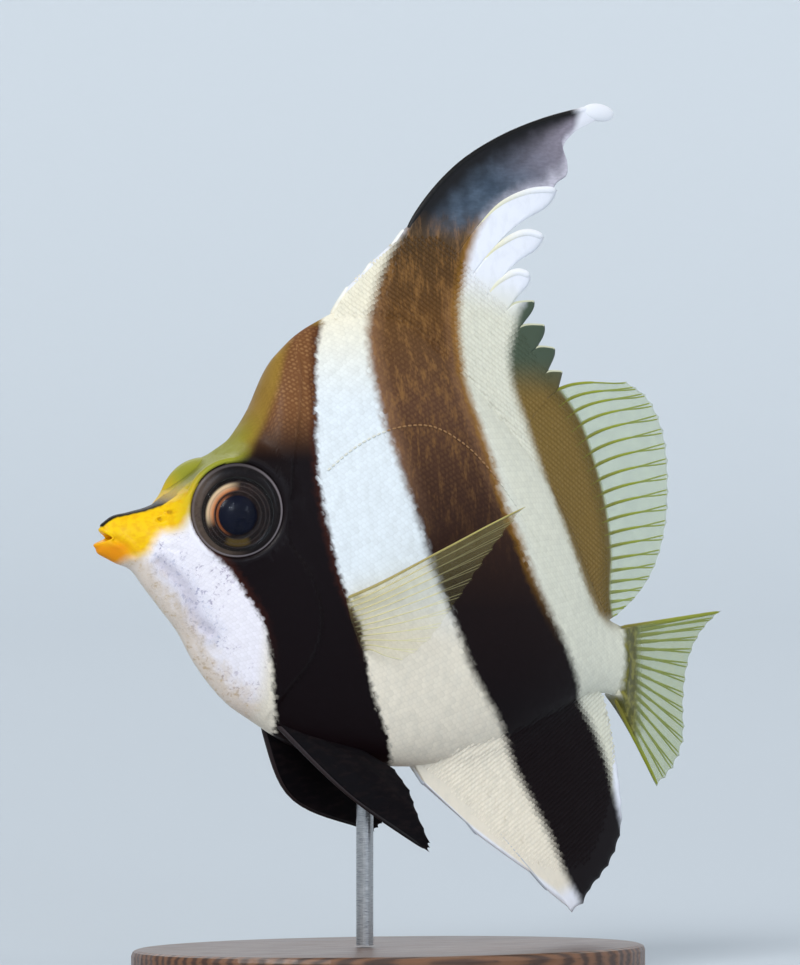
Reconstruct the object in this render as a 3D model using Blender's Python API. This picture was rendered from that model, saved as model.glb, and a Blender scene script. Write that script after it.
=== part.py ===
"""A pennant bannerfish as a still, life-size model on a display stand.

The fish faces -X with its head raised a little, its belly towards -Z, and its tail swung
towards +Y. Sizes below are in millimetres and become metres when a mesh is made. The origin
is the middle of the stand's underside.
"""

import math

import bmesh
import bpy
import numpy as np

MM = 0.001
GAP = 0.3
MEMBRANE = 0.5

# Outline of the flesh, seen from the side: (x, z) along the back and along the belly.
BACK = [
    (-45.1, 66.5), (-43.9, 67.4), (-41.0, 68.2), (-37.9, 69.0), (-35.4, 70.1), (-32.5, 72.2),
    (-29.5, 74.3), (-26.6, 76.7), (-23.6, 80.3), (-21.3, 84.3), (-19.4, 88.8), (-16.6, 92.2),
    (-10.8, 96.1), (-5.5, 98.2), (0.5, 98.0), (8.0, 92.6), (18.0, 82.4), (28.0, 69.4),
    (34.0, 57.6), (37.0, 52.9), (40.3, 51.2),
]
BELLY = [
    (-45.1, 62.0), (-42.8, 60.7), (-40.2, 59.4), (-38.5, 57.2), (-35.5, 53.5), (-32.9, 50.2),
    (-31.0, 46.8), (-28.7, 43.6), (-26.0, 40.7), (-21.6, 37.7), (-15.9, 34.3), (-7.9, 31.9),
    (0.8, 31.0), (9.5, 31.4), (17.6, 33.4), (26.0, 37.3), (33.0, 40.7), (36.5, 41.2),
    (40.3, 40.4),
]
# Half thickness of the flesh, and the level at which it is thickest.
HALF_WIDTH = [
    (-45.1, 1.7), (-43.0, 2.1), (-41.0, 2.6), (-38.0, 3.5), (-35.0, 4.5), (-31.0, 5.7),
    (-27.0, 6.5), (-22.0, 7.3), (-16.0, 8.2), (-10.0, 8.7), (-2.0, 8.9), (6.0, 8.4),
    (14.0, 7.2), (22.0, 5.6), (29.0, 3.9), (34.0, 2.7), (38.0, 2.1), (40.3, 1.8),
]
THICKEST = [
    (-45.1, 64.3), (-41.0, 64.2), (-36.0, 63.6), (-31.0, 64.3), (-26.0, 65.0), (-20.0, 64.0),
    (-12.0, 61.0), (0.0, 58.5), (10.0, 56.0), (20.0, 52.0), (30.0, 48.0), (36.0, 46.6),
    (40.3, 45.8),
]
# Below 1 a section is square-shouldered, above 1 it comes to an edge like a lens.
BACK_EDGE = [(-45.1, 0.9), (-36.0, 0.75), (-30.0, 0.6), (-26.0, 0.68), (-22.0, 0.95),
             (-18.0, 1.2), (-12.0, 1.35), (20.0, 1.35), (34.0, 1.1), (40.3, 1.0)]
BELLY_EDGE = [(-45.1, 0.9), (-30.0, 1.1), (-20.0, 1.0), (0.0, 0.85), (10.0, 1.1),
              (20.0, 1.3), (34.0, 1.1), (40.3, 1.0)]
RING_SIDES = 32
HEAD_STEP = 1.25
TRUNK_STEP = 2.7
HEAD_END = -12.0
SNOUT_X, TAIL_X = BACK[0][0], BACK[-1][0]

# The mouth, slightly open, with the lower lip a little ahead of the upper.
UPPER_LIP_X, LOWER_LIP_X, MOUTH_CORNER_X, THROAT_X = -45.6, -46.4, -44.1, -41.9
MOUTH_Z = 64.35
LIP_RINGS = [
    # forward share of the lip's reach, rise of the upper lip, drop of the lower, half width
    (0.93, 1.75, 1.65, 1.65),
    (1.0, 1.35, 1.15, 1.5),
    (0.86, 0.85, 0.75, 1.25),
    (0.35, 0.5, 0.45, 0.9),
]
CORNER_SETBACK = 1.6
SETBACK_END_X = -39.5

# The tail swings away along an arc between these two places.
SWING_START_X, SWING_END_X = 8.0, 46.0
SWING_ANGLE = math.radians(24)

# The rear edge of the gill cover, which also parts the head from the trunk.
GILL_EDGE = [(-21.6, 30.0), (-21.0, 37.5), (-18.8, 42.0), (-15.6, 47.0), (-14.5, 53.0),
             (-16.0, 58.5), (-19.4, 64.0), (-19.0, 72.0), (-16.5, 84.0), (-14.6, 100.0)]
GILL_COVER_RISE = 0.4
STEM_START_X = 33.0

EYE = (-26.8, 6.55, 68.35)
EYE_RADIUS = 6.8
IRIS_RADIUS = 4.75
ORBIT_RADIUS = 7.5
ORBIT_TOP = 0.25
BROW_RADIUS = 10.6
EYE_FORWARD_TILT = math.radians(9)
NOSTRILS = [(-37.2, 67.0), (-36.0, 68.0)]
NOSTRIL_RADIUS = 0.5

STAND_BASE = (78.0, 54.0, 5.0)
BASE_BEVEL = 0.8
ROD_X = -4.0
ROD_RADIUS = 1.25
ROD_DEPTH = 3.0


def remove_all():
    """Empties the scene of the objects it opens with."""
    for thing in list(bpy.data.objects):
        bpy.data.objects.remove(thing)


def curve(points):
    """A smooth curve through points whose first number rises; gives the others at any x."""
    table = np.array(points, float)
    xs, values = table[:, 0], table[:, 1]
    slopes = np.gradient(values, xs)

    def at(x):
        x = np.clip(x, xs[0], xs[-1])
        i = np.clip(np.searchsorted(xs, x, side="right") - 1, 0, len(xs) - 2)
        h = xs[i + 1] - xs[i]
        t = (x - xs[i]) / h
        start = (1 + 2 * t) * (1 - t) ** 2 * values[i] + t * (1 - t) ** 2 * h * slopes[i]
        end = t * t * (3 - 2 * t) * values[i + 1] + t * t * (t - 1) * h * slopes[i + 1]
        return start + end

    return at


def path(points):
    """A smooth line through points in two or three dimensions, from t = 0 to t = 1."""
    points = np.array(points, float)
    along = np.concatenate([[0], np.cumsum(np.linalg.norm(np.diff(points, axis=0), axis=1))])
    parts = [curve(np.column_stack([along / along[-1], column])) for column in points.T]
    return lambda t: np.stack([part(np.asarray(t, float)) for part in parts], axis=-1)


def swing(points):
    """Turns straight-fish points (x, y, z) with the tail's swing."""
    points = np.array(points, float).reshape(-1, 3)
    samples = np.linspace(SWING_START_X, 90.0, 2000)
    share = np.clip((samples - SWING_START_X) / (SWING_END_X - SWING_START_X), 0, 1)
    angles = SWING_ANGLE * share * share * (3 - 2 * share)
    step = samples[1] - samples[0]
    run = SWING_START_X + np.concatenate([[0], np.cumsum(np.cos(angles[:-1]) * step)])
    off = np.concatenate([[0], np.cumsum(np.sin(angles[:-1]) * step)])
    x, y, z = points.T
    angle = np.interp(x, samples, angles)
    middle_x = np.where(x < SWING_START_X, x, np.interp(x, samples, run))
    middle_y = np.interp(x, samples, off)
    return np.column_stack([middle_x - y * np.sin(angle), middle_y + y * np.cos(angle), z])


back_at, belly_at = curve(BACK), curve(BELLY)
width_at, thickest_at = curve(HALF_WIDTH), curve(THICKEST)
back_edge_at, belly_edge_at = curve(BACK_EDGE), curve(BELLY_EDGE)
gill_x_at = curve([(z, x) for x, z in GILL_EDGE])


def material(name, colour, roughness, metallic=0.0):
    """A plain finish for one node."""
    made = bpy.data.materials.new(name)
    made.use_nodes = True
    shader = made.node_tree.nodes["Principled BSDF"]
    shader.inputs["Base Color"].default_value = (*colour, 1.0)
    shader.inputs["Roughness"].default_value = roughness
    shader.inputs["Metallic"].default_value = metallic
    return made


def solid(name, points, faces, finish=None):
    """A mesh object from millimetre points, with its faces turned outwards."""
    mesh = bpy.data.meshes.new(name)
    mesh.from_pydata([tuple(p) for p in np.array(points, float) * MM], [], faces)
    made = bpy.data.objects.new(name, mesh)
    bpy.context.scene.collection.objects.link(made)
    shape = bmesh.new()
    shape.from_mesh(mesh)
    bmesh.ops.triangulate(shape, faces=shape.faces)
    bmesh.ops.recalc_face_normals(shape, faces=shape.faces)
    shape.to_mesh(mesh)
    shape.free()
    mesh.shade_smooth()
    mesh.set_sharp_from_angle(angle=math.radians(40))
    if finish:
        mesh.materials.append(finish)
    return made


def cutter(made):
    """Marks a helper, which cuts other shapes and is no part of the fish."""
    made.hide_render = True
    made.display_type = "WIRE"
    return made


def combine(target, operation, others, finish=None):
    """Joins others to target or cuts them from it with one Boolean on a collection, and
    removes them. Only the largest closed surface is kept."""
    group = bpy.data.collections.new(operation)
    bpy.context.scene.collection.children.link(group)
    for other in others:
        group.objects.link(other)
    modifier = target.modifiers.new(operation, "BOOLEAN")
    modifier.operation = operation
    modifier.operand_type = "COLLECTION"
    modifier.collection = group
    graph = bpy.context.evaluated_depsgraph_get()
    mesh = bpy.data.meshes.new_from_object(target.evaluated_get(graph))
    target.modifiers.clear()
    target.data = mesh
    bpy.data.collections.remove(group)
    for other in others:
        bpy.data.objects.remove(other)
    keep_largest(mesh)
    mesh.materials.clear()
    if finish:
        mesh.materials.append(finish)
    return target


def keep_largest(mesh):
    """Deletes every shell but the one with the largest volume."""
    shape = bmesh.new()
    shape.from_mesh(mesh)
    bmesh.ops.remove_doubles(shape, verts=shape.verts, dist=2e-6)
    bmesh.ops.dissolve_degenerate(shape, edges=shape.edges, dist=2e-6)
    bmesh.ops.triangulate(shape, faces=shape.faces)
    unseen = set(shape.faces)
    shells = []
    while unseen:
        first = unseen.pop()
        shell, front = {first}, [first]
        while front:
            face = front.pop()
            for edge in face.edges:
                for near in edge.link_faces:
                    if near in unseen:
                        unseen.discard(near)
                        shell.add(near)
                        front.append(near)
        corners = [[vert.co for vert in face.verts] for face in shell]
        shells.append((abs(sum(a.dot(b.cross(c)) for a, b, c in corners)), shell))
    shells.sort(key=lambda pair: pair[0])
    for _, shell in shells[:-1]:
        bmesh.ops.delete(shape, geom=list(shell), context="FACES")
    shape.to_mesh(mesh)
    shape.free()


def body_ring(x, swell, gill_rise):
    """One section of the flesh at x, as a ring of points, swollen all round by swell."""
    angle = np.arange(RING_SIDES) * 2 * math.pi / RING_SIDES
    side, rise = np.cos(angle), np.sin(angle)
    upper = rise >= 0
    middle = thickest_at(x)
    reach = np.where(upper, back_at(x) - middle, middle - belly_at(x)) + swell
    edge = np.where(upper, back_edge_at(x), belly_edge_at(x))
    z = middle + reach * rise
    y = (width_at(x) + swell) * np.sign(side) * np.abs(side) ** edge
    fade = np.clip((SETBACK_END_X - x) / (SETBACK_END_X - SNOUT_X), 0, 1)
    setback = CORNER_SETBACK * fade * (1 - np.abs(rise) ** 1.5)
    lead = np.where(upper, 0, -0.5 * fade * np.abs(rise))
    xs = x + setback + lead
    from_eye = np.hypot(xs - EYE[0], z - EYE[2])
    brow = np.clip((BROW_RADIUS - from_eye) / (BROW_RADIUS - ORBIT_RADIUS), 0, 1)
    brow = brow * brow * (3 - 2 * brow) * np.minimum(1, np.abs(side) / 0.38)
    level = EYE[1] + swell + (xs - EYE[0]) * math.tan(EYE_FORWARD_TILT)
    y = y + np.sign(side) * np.maximum(level - np.abs(y), 0) * brow
    behind_eye = np.clip(1 - (gill_x_at(z) - xs) / 9.0, 0, 1)
    y = y + np.sign(side) * gill_rise * behind_eye * np.minimum(1, 2 * np.abs(side))
    return np.column_stack([xs, y, z])


def lip_rings(swell):
    """Rings that turn the snout's skin over the lips and into the mouth."""
    angle = np.arange(RING_SIDES) * 2 * math.pi / RING_SIDES
    side, rise = np.cos(angle), np.sin(angle)
    tip = np.where(rise >= 0, UPPER_LIP_X, LOWER_LIP_X)
    rings = []
    for forward, up, down, half in LIP_RINGS:
        front = MOUTH_CORNER_X + (tip - MOUTH_CORNER_X) * np.abs(rise) ** 1.2
        x = THROAT_X + (front - THROAT_X) * forward - swell
        z = MOUTH_Z + np.where(rise >= 0, up + swell, down + swell) * rise
        y = (half + swell) * side
        rings.append(np.column_stack([x, y, z]))
    return rings


def body(name, swell=0.0, gill_rise=0.0):
    """The whole flesh of the fish as one closed surface, with the mouth sunk into the snout."""
    stations = np.concatenate([
        np.arange(SNOUT_X, HEAD_END, HEAD_STEP),
        np.arange(HEAD_END, TAIL_X - 1.0, TRUNK_STEP),
        [TAIL_X + swell],
    ])
    rings = lip_rings(swell)[::-1] + [body_ring(x, swell, gill_rise) for x in stations]
    points = [ring for ring in rings]
    points.append([(THROAT_X - swell, 0, MOUTH_Z)])
    points.append([(TAIL_X + 0.4 + swell, 0, thickest_at(TAIL_X))])
    faces = []
    for row in range(len(rings) - 1):
        for k in range(RING_SIDES):
            a, b = row * RING_SIDES + k, row * RING_SIDES + (k + 1) % RING_SIDES
            faces.append((a, b, b + RING_SIDES, a + RING_SIDES))
    throat = len(rings) * RING_SIDES
    last = throat - RING_SIDES
    for k in range(RING_SIDES):
        faces.append((throat, (k + 1) % RING_SIDES, k))
        faces.append((throat + 1, last + k, last + (k + 1) % RING_SIDES))
    return solid(name, swing(np.vstack(points)), faces)


def side_prism(name, outline, half=40.0):
    """A prism across the fish from a closed side outline of (x, z) points."""
    n = len(outline)
    points = [(x, y, z) for y in (-half, half) for x, z in outline]
    faces = [tuple(range(n)), tuple(range(n, 2 * n))]
    faces += [(k, (k + 1) % n, n + (k + 1) % n, n + k) for k in range(n)]
    return cutter(solid(name, swing(points), faces))


def turned(name, profile, centre, tilt, sides, finish=None):
    """A solid turned from (radius, height) points about an axis through centre, facing -Y or +Y."""
    mirror = math.copysign(1, centre[1])
    forward, outward = -math.sin(tilt), mirror * math.cos(tilt)
    across = np.array([math.cos(tilt), mirror * math.sin(tilt), 0.0])
    points, faces = [], []
    for radius, height in profile:
        turns = np.arange(sides) * 2 * math.pi / sides
        centre_now = np.array(centre) + height * np.array([forward, outward, 0.0])
        for turn in turns:
            offset = radius * (math.cos(turn) * across + math.sin(turn) * np.array([0, 0, 1.0]))
            points.append(centre_now + offset)
    for row in range(len(profile) - 1):
        for k in range(sides):
            a, b = row * sides + k, row * sides + (k + 1) % sides
            faces.append((a, b, b + sides, a + sides))
    faces.append(tuple(range(sides)))
    faces.append(tuple(range(len(points) - sides, len(points))))
    return solid(name, points, faces, finish)


def dome(radius, rise, rings, start=0.0):
    """Profile points of a shallow dome, from its rim in towards its crown."""
    shares = np.linspace(0, 1, rings + 1)[:-1]
    return [(radius * (1 - s), start + rise * math.sin(s * math.pi / 2)) for s in shares]


def fin(name, columns, rows=6):
    """A ribbed fin. Each column is (line, end, root thickness, tip thickness): a line from root
    to tip, the share of it that is used, and how thick the fin is there. Both faces carry the
    same triangles."""
    steps = np.linspace(0, 1, rows + 1)
    grid, thickness = [], []
    for line, end, root, tip in columns:
        spots = line(steps * end)
        if spots.shape[1] == 2:
            spots = np.column_stack([spots[:, 0], np.zeros(rows + 1), spots[:, 1]])
        grid.append(spots)
        thickness.append(root + (tip - root) * steps)
    grid, thickness = np.array(grid), np.array(thickness)[..., None]
    normal = np.cross(np.gradient(grid, axis=0), np.gradient(grid, axis=1))
    normal /= np.linalg.norm(normal, axis=2, keepdims=True)
    normal *= np.sign(normal[len(columns) // 2, rows // 2, 1])
    points = np.vstack([(grid + sign * 0.5 * thickness * normal).reshape(-1, 3) for sign in (1, -1)])
    width, high = len(columns), rows + 1
    half = width * high
    faces = []
    for c in range(width - 1):
        for r in range(rows):
            a, b = c * high + r, (c + 1) * high + r
            faces += [(a, b, b + 1), (a, b + 1, a + 1)]
            faces += [(half + b, half + a, half + b + 1), (half + b + 1, half + a, half + a + 1)]
    for c in range(width - 1):
        for r in (0, rows):
            a, b = c * high + r, (c + 1) * high + r
            faces.append((a, b, half + b, half + a))
    for c in (0, width - 1):
        for r in range(rows):
            a, b = c * high + r, c * high + r + 1
            faces.append((a, b, half + b, half + a))
    return solid(name, swing(points), faces)


def between(first, second, share):
    """A line part of the way from one line to another."""
    return lambda t: first(t) * (1 - share) + second(t) * share


def spine_columns(spines, notches, root, tip, membrane):
    """Columns for stiff spines. The skin behind each falls away to a notch on the next, given
    as a share of that spine's length."""
    columns = []
    for here, after, notch in zip(spines[:-1], spines[1:], notches):
        columns.append((here, 1.0, root, tip))
        for share in (0.35, 0.7, 0.93):
            end = 1 - (1 - notch) * share ** 1.2
            columns.append((between(here, after, share), end, membrane, MEMBRANE))
    columns.append((spines[-1], 1.0, root, tip))
    return columns


def beside(line, distance, end=1.0):
    """A line that runs alongside another in the fish's plane, over the first part of it."""
    def at(t):
        spots = line(np.asarray(t) * end)
        ahead = line(np.asarray(t) * end + 0.01) - line(np.asarray(t) * end - 0.01)
        ahead /= np.linalg.norm(ahead, axis=-1, keepdims=True)
        return spots + distance * np.stack([-ahead[..., 1], ahead[..., 0]], axis=-1)

    return at


def ray_columns(roots, tips, count, bow, root, tip, membrane, notch=0.97):
    """Columns for soft rays spread evenly from a root line to a tip line."""
    lines = []
    for share in np.linspace(0, 1, count):
        start, end = roots(share), tips(share)
        middle = (start + end) / 2 + np.array(bow) * (1 - share) ** 2
        lines.append(path([start, middle, end]))
    columns = []
    for here, after in zip(lines[:-1], lines[1:]):
        columns.append((here, 1.0, root, tip))
        columns.append((between(here, after, 0.5), notch, membrane, MEMBRANE))
    columns.append((lines[-1], 1.0, root, tip))
    return columns


# Dorsal spines from the nape backwards, each from its root to its tip.
FRONT_SPINES = [
    [(-10.5, 93.5), (-8.8, 97.2), (-6.6, 100.6)],
    [(-8.0, 94.5), (-6.0, 99.4), (-3.0, 104.1)],
    [(-5.5, 94.5), (-2.6, 102.2), (2.2, 109.0)],
]
FRONT_NOTCHES = [0.93, 0.9, 0.97]
PENNANT_SPINE = [(-2.6, 94.5), (0.2, 103.2), (3.5, 110.0), (6.8, 114.4), (11.1, 118.5),
                 (17.6, 122.4), (24.3, 125.0), (31.0, 126.7), (35.0, 127.4), (38.2, 126.9)]
PENNANT_FREE_EDGE = [(27.4, 116.2), (29.2, 117.4), (29.3, 119.3), (28.5, 121.3),
                     (30.2, 123.4), (33.2, 124.6), (37.4, 125.2)]
REAR_SPINES = [
    [(2.2, 92.0), (8.2, 101.8), (13.6, 109.3), (17.9, 113.1), (22.7, 114.9), (27.6, 115.2)],
    [(5.8, 90.5), (11.6, 100.6), (17.5, 106.9), (22.3, 108.8), (25.2, 108.2)],
    [(8.6, 88.4), (13.4, 96.6), (17.9, 101.9), (20.6, 103.0), (22.8, 102.5)],
    [(11.2, 86.0), (15.8, 93.4), (19.9, 98.3), (23.5, 98.8)],
    [(13.6, 83.6), (17.6, 90.6), (21.2, 95.0), (25.3, 95.3)],
    [(15.8, 81.2), (19.8, 87.6), (24.0, 92.0), (27.2, 91.9)],
    [(17.8, 78.8), (21.6, 84.4), (25.8, 88.4), (28.6, 88.5)],
]
REAR_NOTCHES = [0.72, 0.78, 0.8, 0.77, 0.81, 0.82, 0.95]
SOFT_ROOTS = [(19.0, 77.0), (25.0, 69.0), (31.0, 58.6), (35.6, 51.6)]
SOFT_BOW = (-3.4, 3.4)
SOFT_TIPS = [(41.8, 87.2), (47.0, 84.7), (50.3, 79.9), (51.4, 72.6), (50.7, 65.4),
             (48.1, 59.6), (43.8, 55.3), (39.6, 52.8)]
SOFT_RAYS = 20
ANAL_SPINES = [
    [(2.0, 33.2), (3.4, 31.4), (5.4, 28.4)],
    [(4.0, 33.4), (8.6, 27.6), (13.9, 21.0)],
    [(6.8, 33.8), (16.0, 22.8), (25.8, 12.6)],
]
ANAL_NOTCHES = [0.94, 0.9, 0.97]
ANAL_ROOTS = [(10.0, 34.2), (18.0, 36.2), (26.0, 39.6), (33.4, 43.2)]
ANAL_TIPS = [(30.4, 9.2), (32.8, 10.6), (34.4, 13.0), (36.8, 14.8), (39.5, 18.3), (40.8, 22.0),
             (40.5, 26.4), (39.7, 30.6), (38.6, 34.6), (36.8, 39.8)]
ANAL_RAYS = 15
TAIL_ROOTS = [(38.6, 50.6), (38.9, 48.0), (39.0, 44.0), (38.8, 41.0)]
TAIL_TIPS = [(63.7, 53.1), (59.8, 50.7), (57.0, 47.6), (55.4, 43.4), (54.9, 38.6),
             (55.0, 34.2), (52.6, 30.0), (48.7, 27.2)]
TAIL_RAYS = 15
# Paired fins on the left side, (x, y, z), as root, middle and tip of each ray or corner.
PECTORAL_ROOTS = [(-11.6, -7.3, 55.2), (-11.2, -7.3, 52.0), (-9.6, -7.2, 48.6)]
PECTORAL_TIPS = [(15.4, -12.6, 68.8), (11.8, -13.0, 65.4), (6.4, -13.0, 60.2),
                 (1.8, -12.6, 55.0), (-2.2, -12.0, 50.6), (-4.8, -11.2, 48.4)]
PECTORAL_KNEE = (0.3, -2.0, 0.2)
PECTORAL_BULGE = (0.0, -1.6, 0.0)
PECTORAL_RAYS = 12
PELVIC_NEAR = [
    [(-19.4, -1.8, 38.4), (-8.5, -5.4, 27.2), (3.4, -6.4, 18.9)],
    [(-18.4, -1.8, 38.2), (-6.8, -5.2, 29.6), (3.6, -6.2, 20.2)],
    [(-17.4, -1.8, 37.8), (-6.0, -4.8, 31.2), (1.9, -5.6, 24.4)],
    [(-16.4, -1.8, 37.6), (-6.0, -4.2, 32.4), (1.0, -4.8, 27.8)],
    [(-15.2, -1.8, 37.8), (-6.2, -3.6, 33.6), (-1.0, -4.0, 30.8)],
]
PELVIC_FAR = [
    [(-19.6, 1.8, 38.4), (-13.9, 4.8, 27.4), (0.6, 7.0, 21.4)],
    [(-18.6, 1.8, 38.2), (-11.5, 4.8, 28.6), (1.8, 6.8, 22.6)],
    [(-17.6, 1.8, 37.8), (-9.0, 4.6, 30.2), (1.6, 6.2, 25.4)],
    [(-16.6, 1.8, 37.4), (-7.6, 4.2, 31.6), (0.8, 5.2, 28.2)],
    [(-15.6, 1.8, 37.0), (-7.4, 3.6, 32.0), (-1.0, 4.2, 30.2)],
]


def make_flesh(white, dark):
    """The head with its mouth, orbits and nostrils, then the trunk and the tail stem."""
    edge = [(float(gill_x_at(z)), float(z)) for z in np.linspace(30, 100, 25)]
    behind = side_prism("behind_gill_cover", edge + [(60, 100), (60, 30)])
    ahead = side_prism(
        "ahead_of_gill_cover",
        [(x + GAP * 1.2, z) for x, z in edge] + [(-60, 100), (-60, 30)],
    )
    stem_end = side_prism(
        "past_stem_start",
        [(STEM_START_X, 30), (STEM_START_X, 90), (60, 90), (60, 30)],
    )
    before_stem = side_prism(
        "before_stem_start",
        [(STEM_START_X + GAP, 30), (STEM_START_X + GAP, 110), (-60, 110), (-60, 30)],
    )
    head = body("head", gill_rise=GILL_COVER_RISE)
    rims, cutters = [], [behind]
    for mirror in (-1, 1):
        centre = (EYE[0], mirror * EYE[1], EYE[2])
        rim = [(ORBIT_RADIUS - 5.0, -5.2), (ORBIT_RADIUS - 1.8, -3.8), (ORBIT_RADIUS - 0.1, -2.2),
               (ORBIT_RADIUS + 0.2, -0.9), (ORBIT_RADIUS - 0.1, ORBIT_TOP),
               (EYE_RADIUS + 0.15, ORBIT_TOP)]
        rims.append(cutter(turned(f"orbit_{mirror}", rim, centre, EYE_FORWARD_TILT, 28)))
        socket = [(EYE_RADIUS - 2.0, -2.9), (EYE_RADIUS + GAP, -1.4), (EYE_RADIUS + GAP, 3.0)]
        cutters.append(cutter(turned(f"socket_{mirror}", socket, centre, EYE_FORWARD_TILT, 28)))
        for x, z in NOSTRILS:
            side = (x, mirror * float(width_at(x)), z)
            pit = [(NOSTRIL_RADIUS, -1.6), (NOSTRIL_RADIUS, 2.0)]
            cutters.append(cutter(turned(f"nostril_{mirror}_{x}", pit, side, 0.5, 8)))
    combine(head, "UNION", rims)
    combine(head, "DIFFERENCE", cutters, white)
    trunk = body("trunk")
    rod_hole = cutter(rod("rod_hole", ROD_RADIUS + GAP, rod_top() + GAP))
    combine(trunk, "DIFFERENCE", [ahead, stem_end, rod_hole], white)
    combine(body("tail_stem"), "DIFFERENCE", [before_stem], dark)


def make_eyes(finish):
    """An eyeball for each socket: a flat skin ring round a domed cornea."""
    for side, mirror in (("left", -1), ("right", 1)):
        profile = [(EYE_RADIUS - 2.0, -2.5), (EYE_RADIUS, -1.2), (EYE_RADIUS, -0.1),
                   (EYE_RADIUS - 0.5, 0.25), (IRIS_RADIUS + 0.5, 0.5), *dome(IRIS_RADIUS, 1.3, 4, 0.55)]
        turned(f"eye_{side}", profile, (EYE[0], mirror * EYE[1], EYE[2]), EYE_FORWARD_TILT, 28, finish)


def set_on_body(made, finish):
    """Trims a fin's root so that it stands on the flesh with an even gap."""
    combine(made, "DIFFERENCE", [cutter(body("flesh_with_gap", swell=GAP))], finish)


def make_unpaired_fins(finishes):
    """The dorsal fin in four pieces, the anal fin and the tail fin."""
    pennant_spine = path(PENNANT_SPINE)
    front = [path(s) for s in FRONT_SPINES] + [beside(pennant_spine, GAP * 1.2, 0.3)]
    made = fin("dorsal_fin_front", spine_columns(front, FRONT_NOTCHES, 1.3, 0.8, 0.9), rows=5)
    set_on_body(made, finishes["white"])
    rear_spines = [path(s) for s in REAR_SPINES]
    seam = beside(rear_spines[0], GAP * 1.2)(np.linspace(0, 0.97, 7))
    pennant_rear = path([*seam, *PENNANT_FREE_EDGE])
    columns = [(pennant_spine, 1.0, 1.5, 0.9)]
    columns += [(between(pennant_spine, pennant_rear, share), 1.0, thick, MEMBRANE)
                for share, thick in ((0.12, 1.3), (0.4, 1.0), (0.72, 1.0))]
    columns.append((pennant_rear, 1.0, 1.0, MEMBRANE))
    set_on_body(fin("pennant", columns, rows=18), finishes["dark"])
    soft_rays = ray_columns(path(SOFT_ROOTS), path(SOFT_TIPS), SOFT_RAYS, SOFT_BOW, 1.5, 0.6, 1.3)
    rear_spines.append(beside(soft_rays[0][0], GAP * 1.3, 0.5))
    columns = spine_columns(rear_spines, REAR_NOTCHES, 1.4, 0.7, 1.1)
    set_on_body(fin("dorsal_fin_spiny", columns), finishes["white"])
    set_on_body(fin("dorsal_fin_soft", soft_rays, rows=5), finishes["olive"])
    rays = ray_columns(path(ANAL_ROOTS), path(ANAL_TIPS), ANAL_RAYS, (0, 0), 1.4, 0.6, 1.2)
    spines = [path(s) for s in ANAL_SPINES] + [rays[0][0]]
    columns = spine_columns(spines, ANAL_NOTCHES, 1.4, 0.7, 1.2)[:-1] + rays
    set_on_body(fin("anal_fin", columns), finishes["dark"])
    columns = ray_columns(path(TAIL_ROOTS), path(TAIL_TIPS), TAIL_RAYS, (0, 0), 1.4, 0.6, 1.2)
    set_on_body(fin("tail_fin", columns), finishes["olive"])


def make_paired_fins(finishes):
    """A pectoral and a pelvic fin on each side. The far pelvic fin hangs a little lower."""
    for side, mirror in (("left", 1), ("right", -1)):
        flip = np.array([1, mirror, 1])
        roots, tips = path(np.array(PECTORAL_ROOTS) * flip), path(np.array(PECTORAL_TIPS) * flip)
        lines = []
        for share in np.linspace(0, 1, PECTORAL_RAYS):
            start, end = roots(share), tips(share)
            knee = start + 0.1 * (end - start) + np.array(PECTORAL_KNEE) * flip
            middle = (start + end) / 2 + np.array(PECTORAL_BULGE) * flip
            lines.append(path([start, knee, middle, end]))
        columns = []
        for here, after in zip(lines[:-1], lines[1:]):
            columns.append((here, 1.0, 1.0, 0.6))
            columns.append((between(here, after, 0.5), 0.97, 0.7, MEMBRANE))
        columns.append((lines[-1], 1.0, 1.0, 0.6))
        set_on_body(fin(f"pectoral_fin_{side}", columns), finishes["pale"])
    for side, rays in (("left", PELVIC_NEAR), ("right", PELVIC_FAR)):
        lines = [path(ray) for ray in rays]
        columns = []
        for here, after in zip(lines[:-1], lines[1:]):
            columns.append((here, 1.0, 1.4, 0.8))
            columns.append((between(here, after, 0.5), 0.94, 1.0, MEMBRANE))
        columns.append((lines[-1], 1.0, 1.2, 0.7))
        set_on_body(fin(f"pelvic_fin_{side}", columns), finishes["dark"])


def rod(name, radius, top, finish=None):
    """An upright round rod from the stand's base to top."""
    bottom = STAND_BASE[2] + GAP
    bpy.ops.mesh.primitive_cylinder_add(
        vertices=20, radius=radius * MM, depth=(top - bottom) * MM,
        location=(ROD_X * MM, 0, (top + bottom) / 2 * MM),
    )
    made = bpy.context.object
    made.name = name
    bpy.ops.object.transform_apply(location=True)
    if finish:
        made.data.materials.append(finish)
    return made


def rod_top():
    """The height of the rod's end, inside the belly."""
    return float(belly_at(ROD_X)) + ROD_DEPTH


def make_stand(steel, wood):
    """An oval base with an eased rim, and one rod up into the belly."""
    rod("stand_rod", ROD_RADIUS, rod_top(), steel)
    length, depth, height = STAND_BASE
    bpy.ops.mesh.primitive_cylinder_add(
        vertices=48, radius=0.5, depth=height * MM, location=(0, 0, height / 2 * MM))
    base = bpy.context.object
    base.name = "stand_base"
    base.scale = (length * MM, depth * MM, 1.0)
    bpy.ops.object.transform_apply(location=True, scale=True)
    ease = base.modifiers.new("eased rim", "BEVEL")
    ease.width = BASE_BEVEL * MM
    ease.segments = 2
    ease.limit_method = "ANGLE"
    ease.angle_limit = math.radians(50)
    base.data.materials.append(wood)


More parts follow.
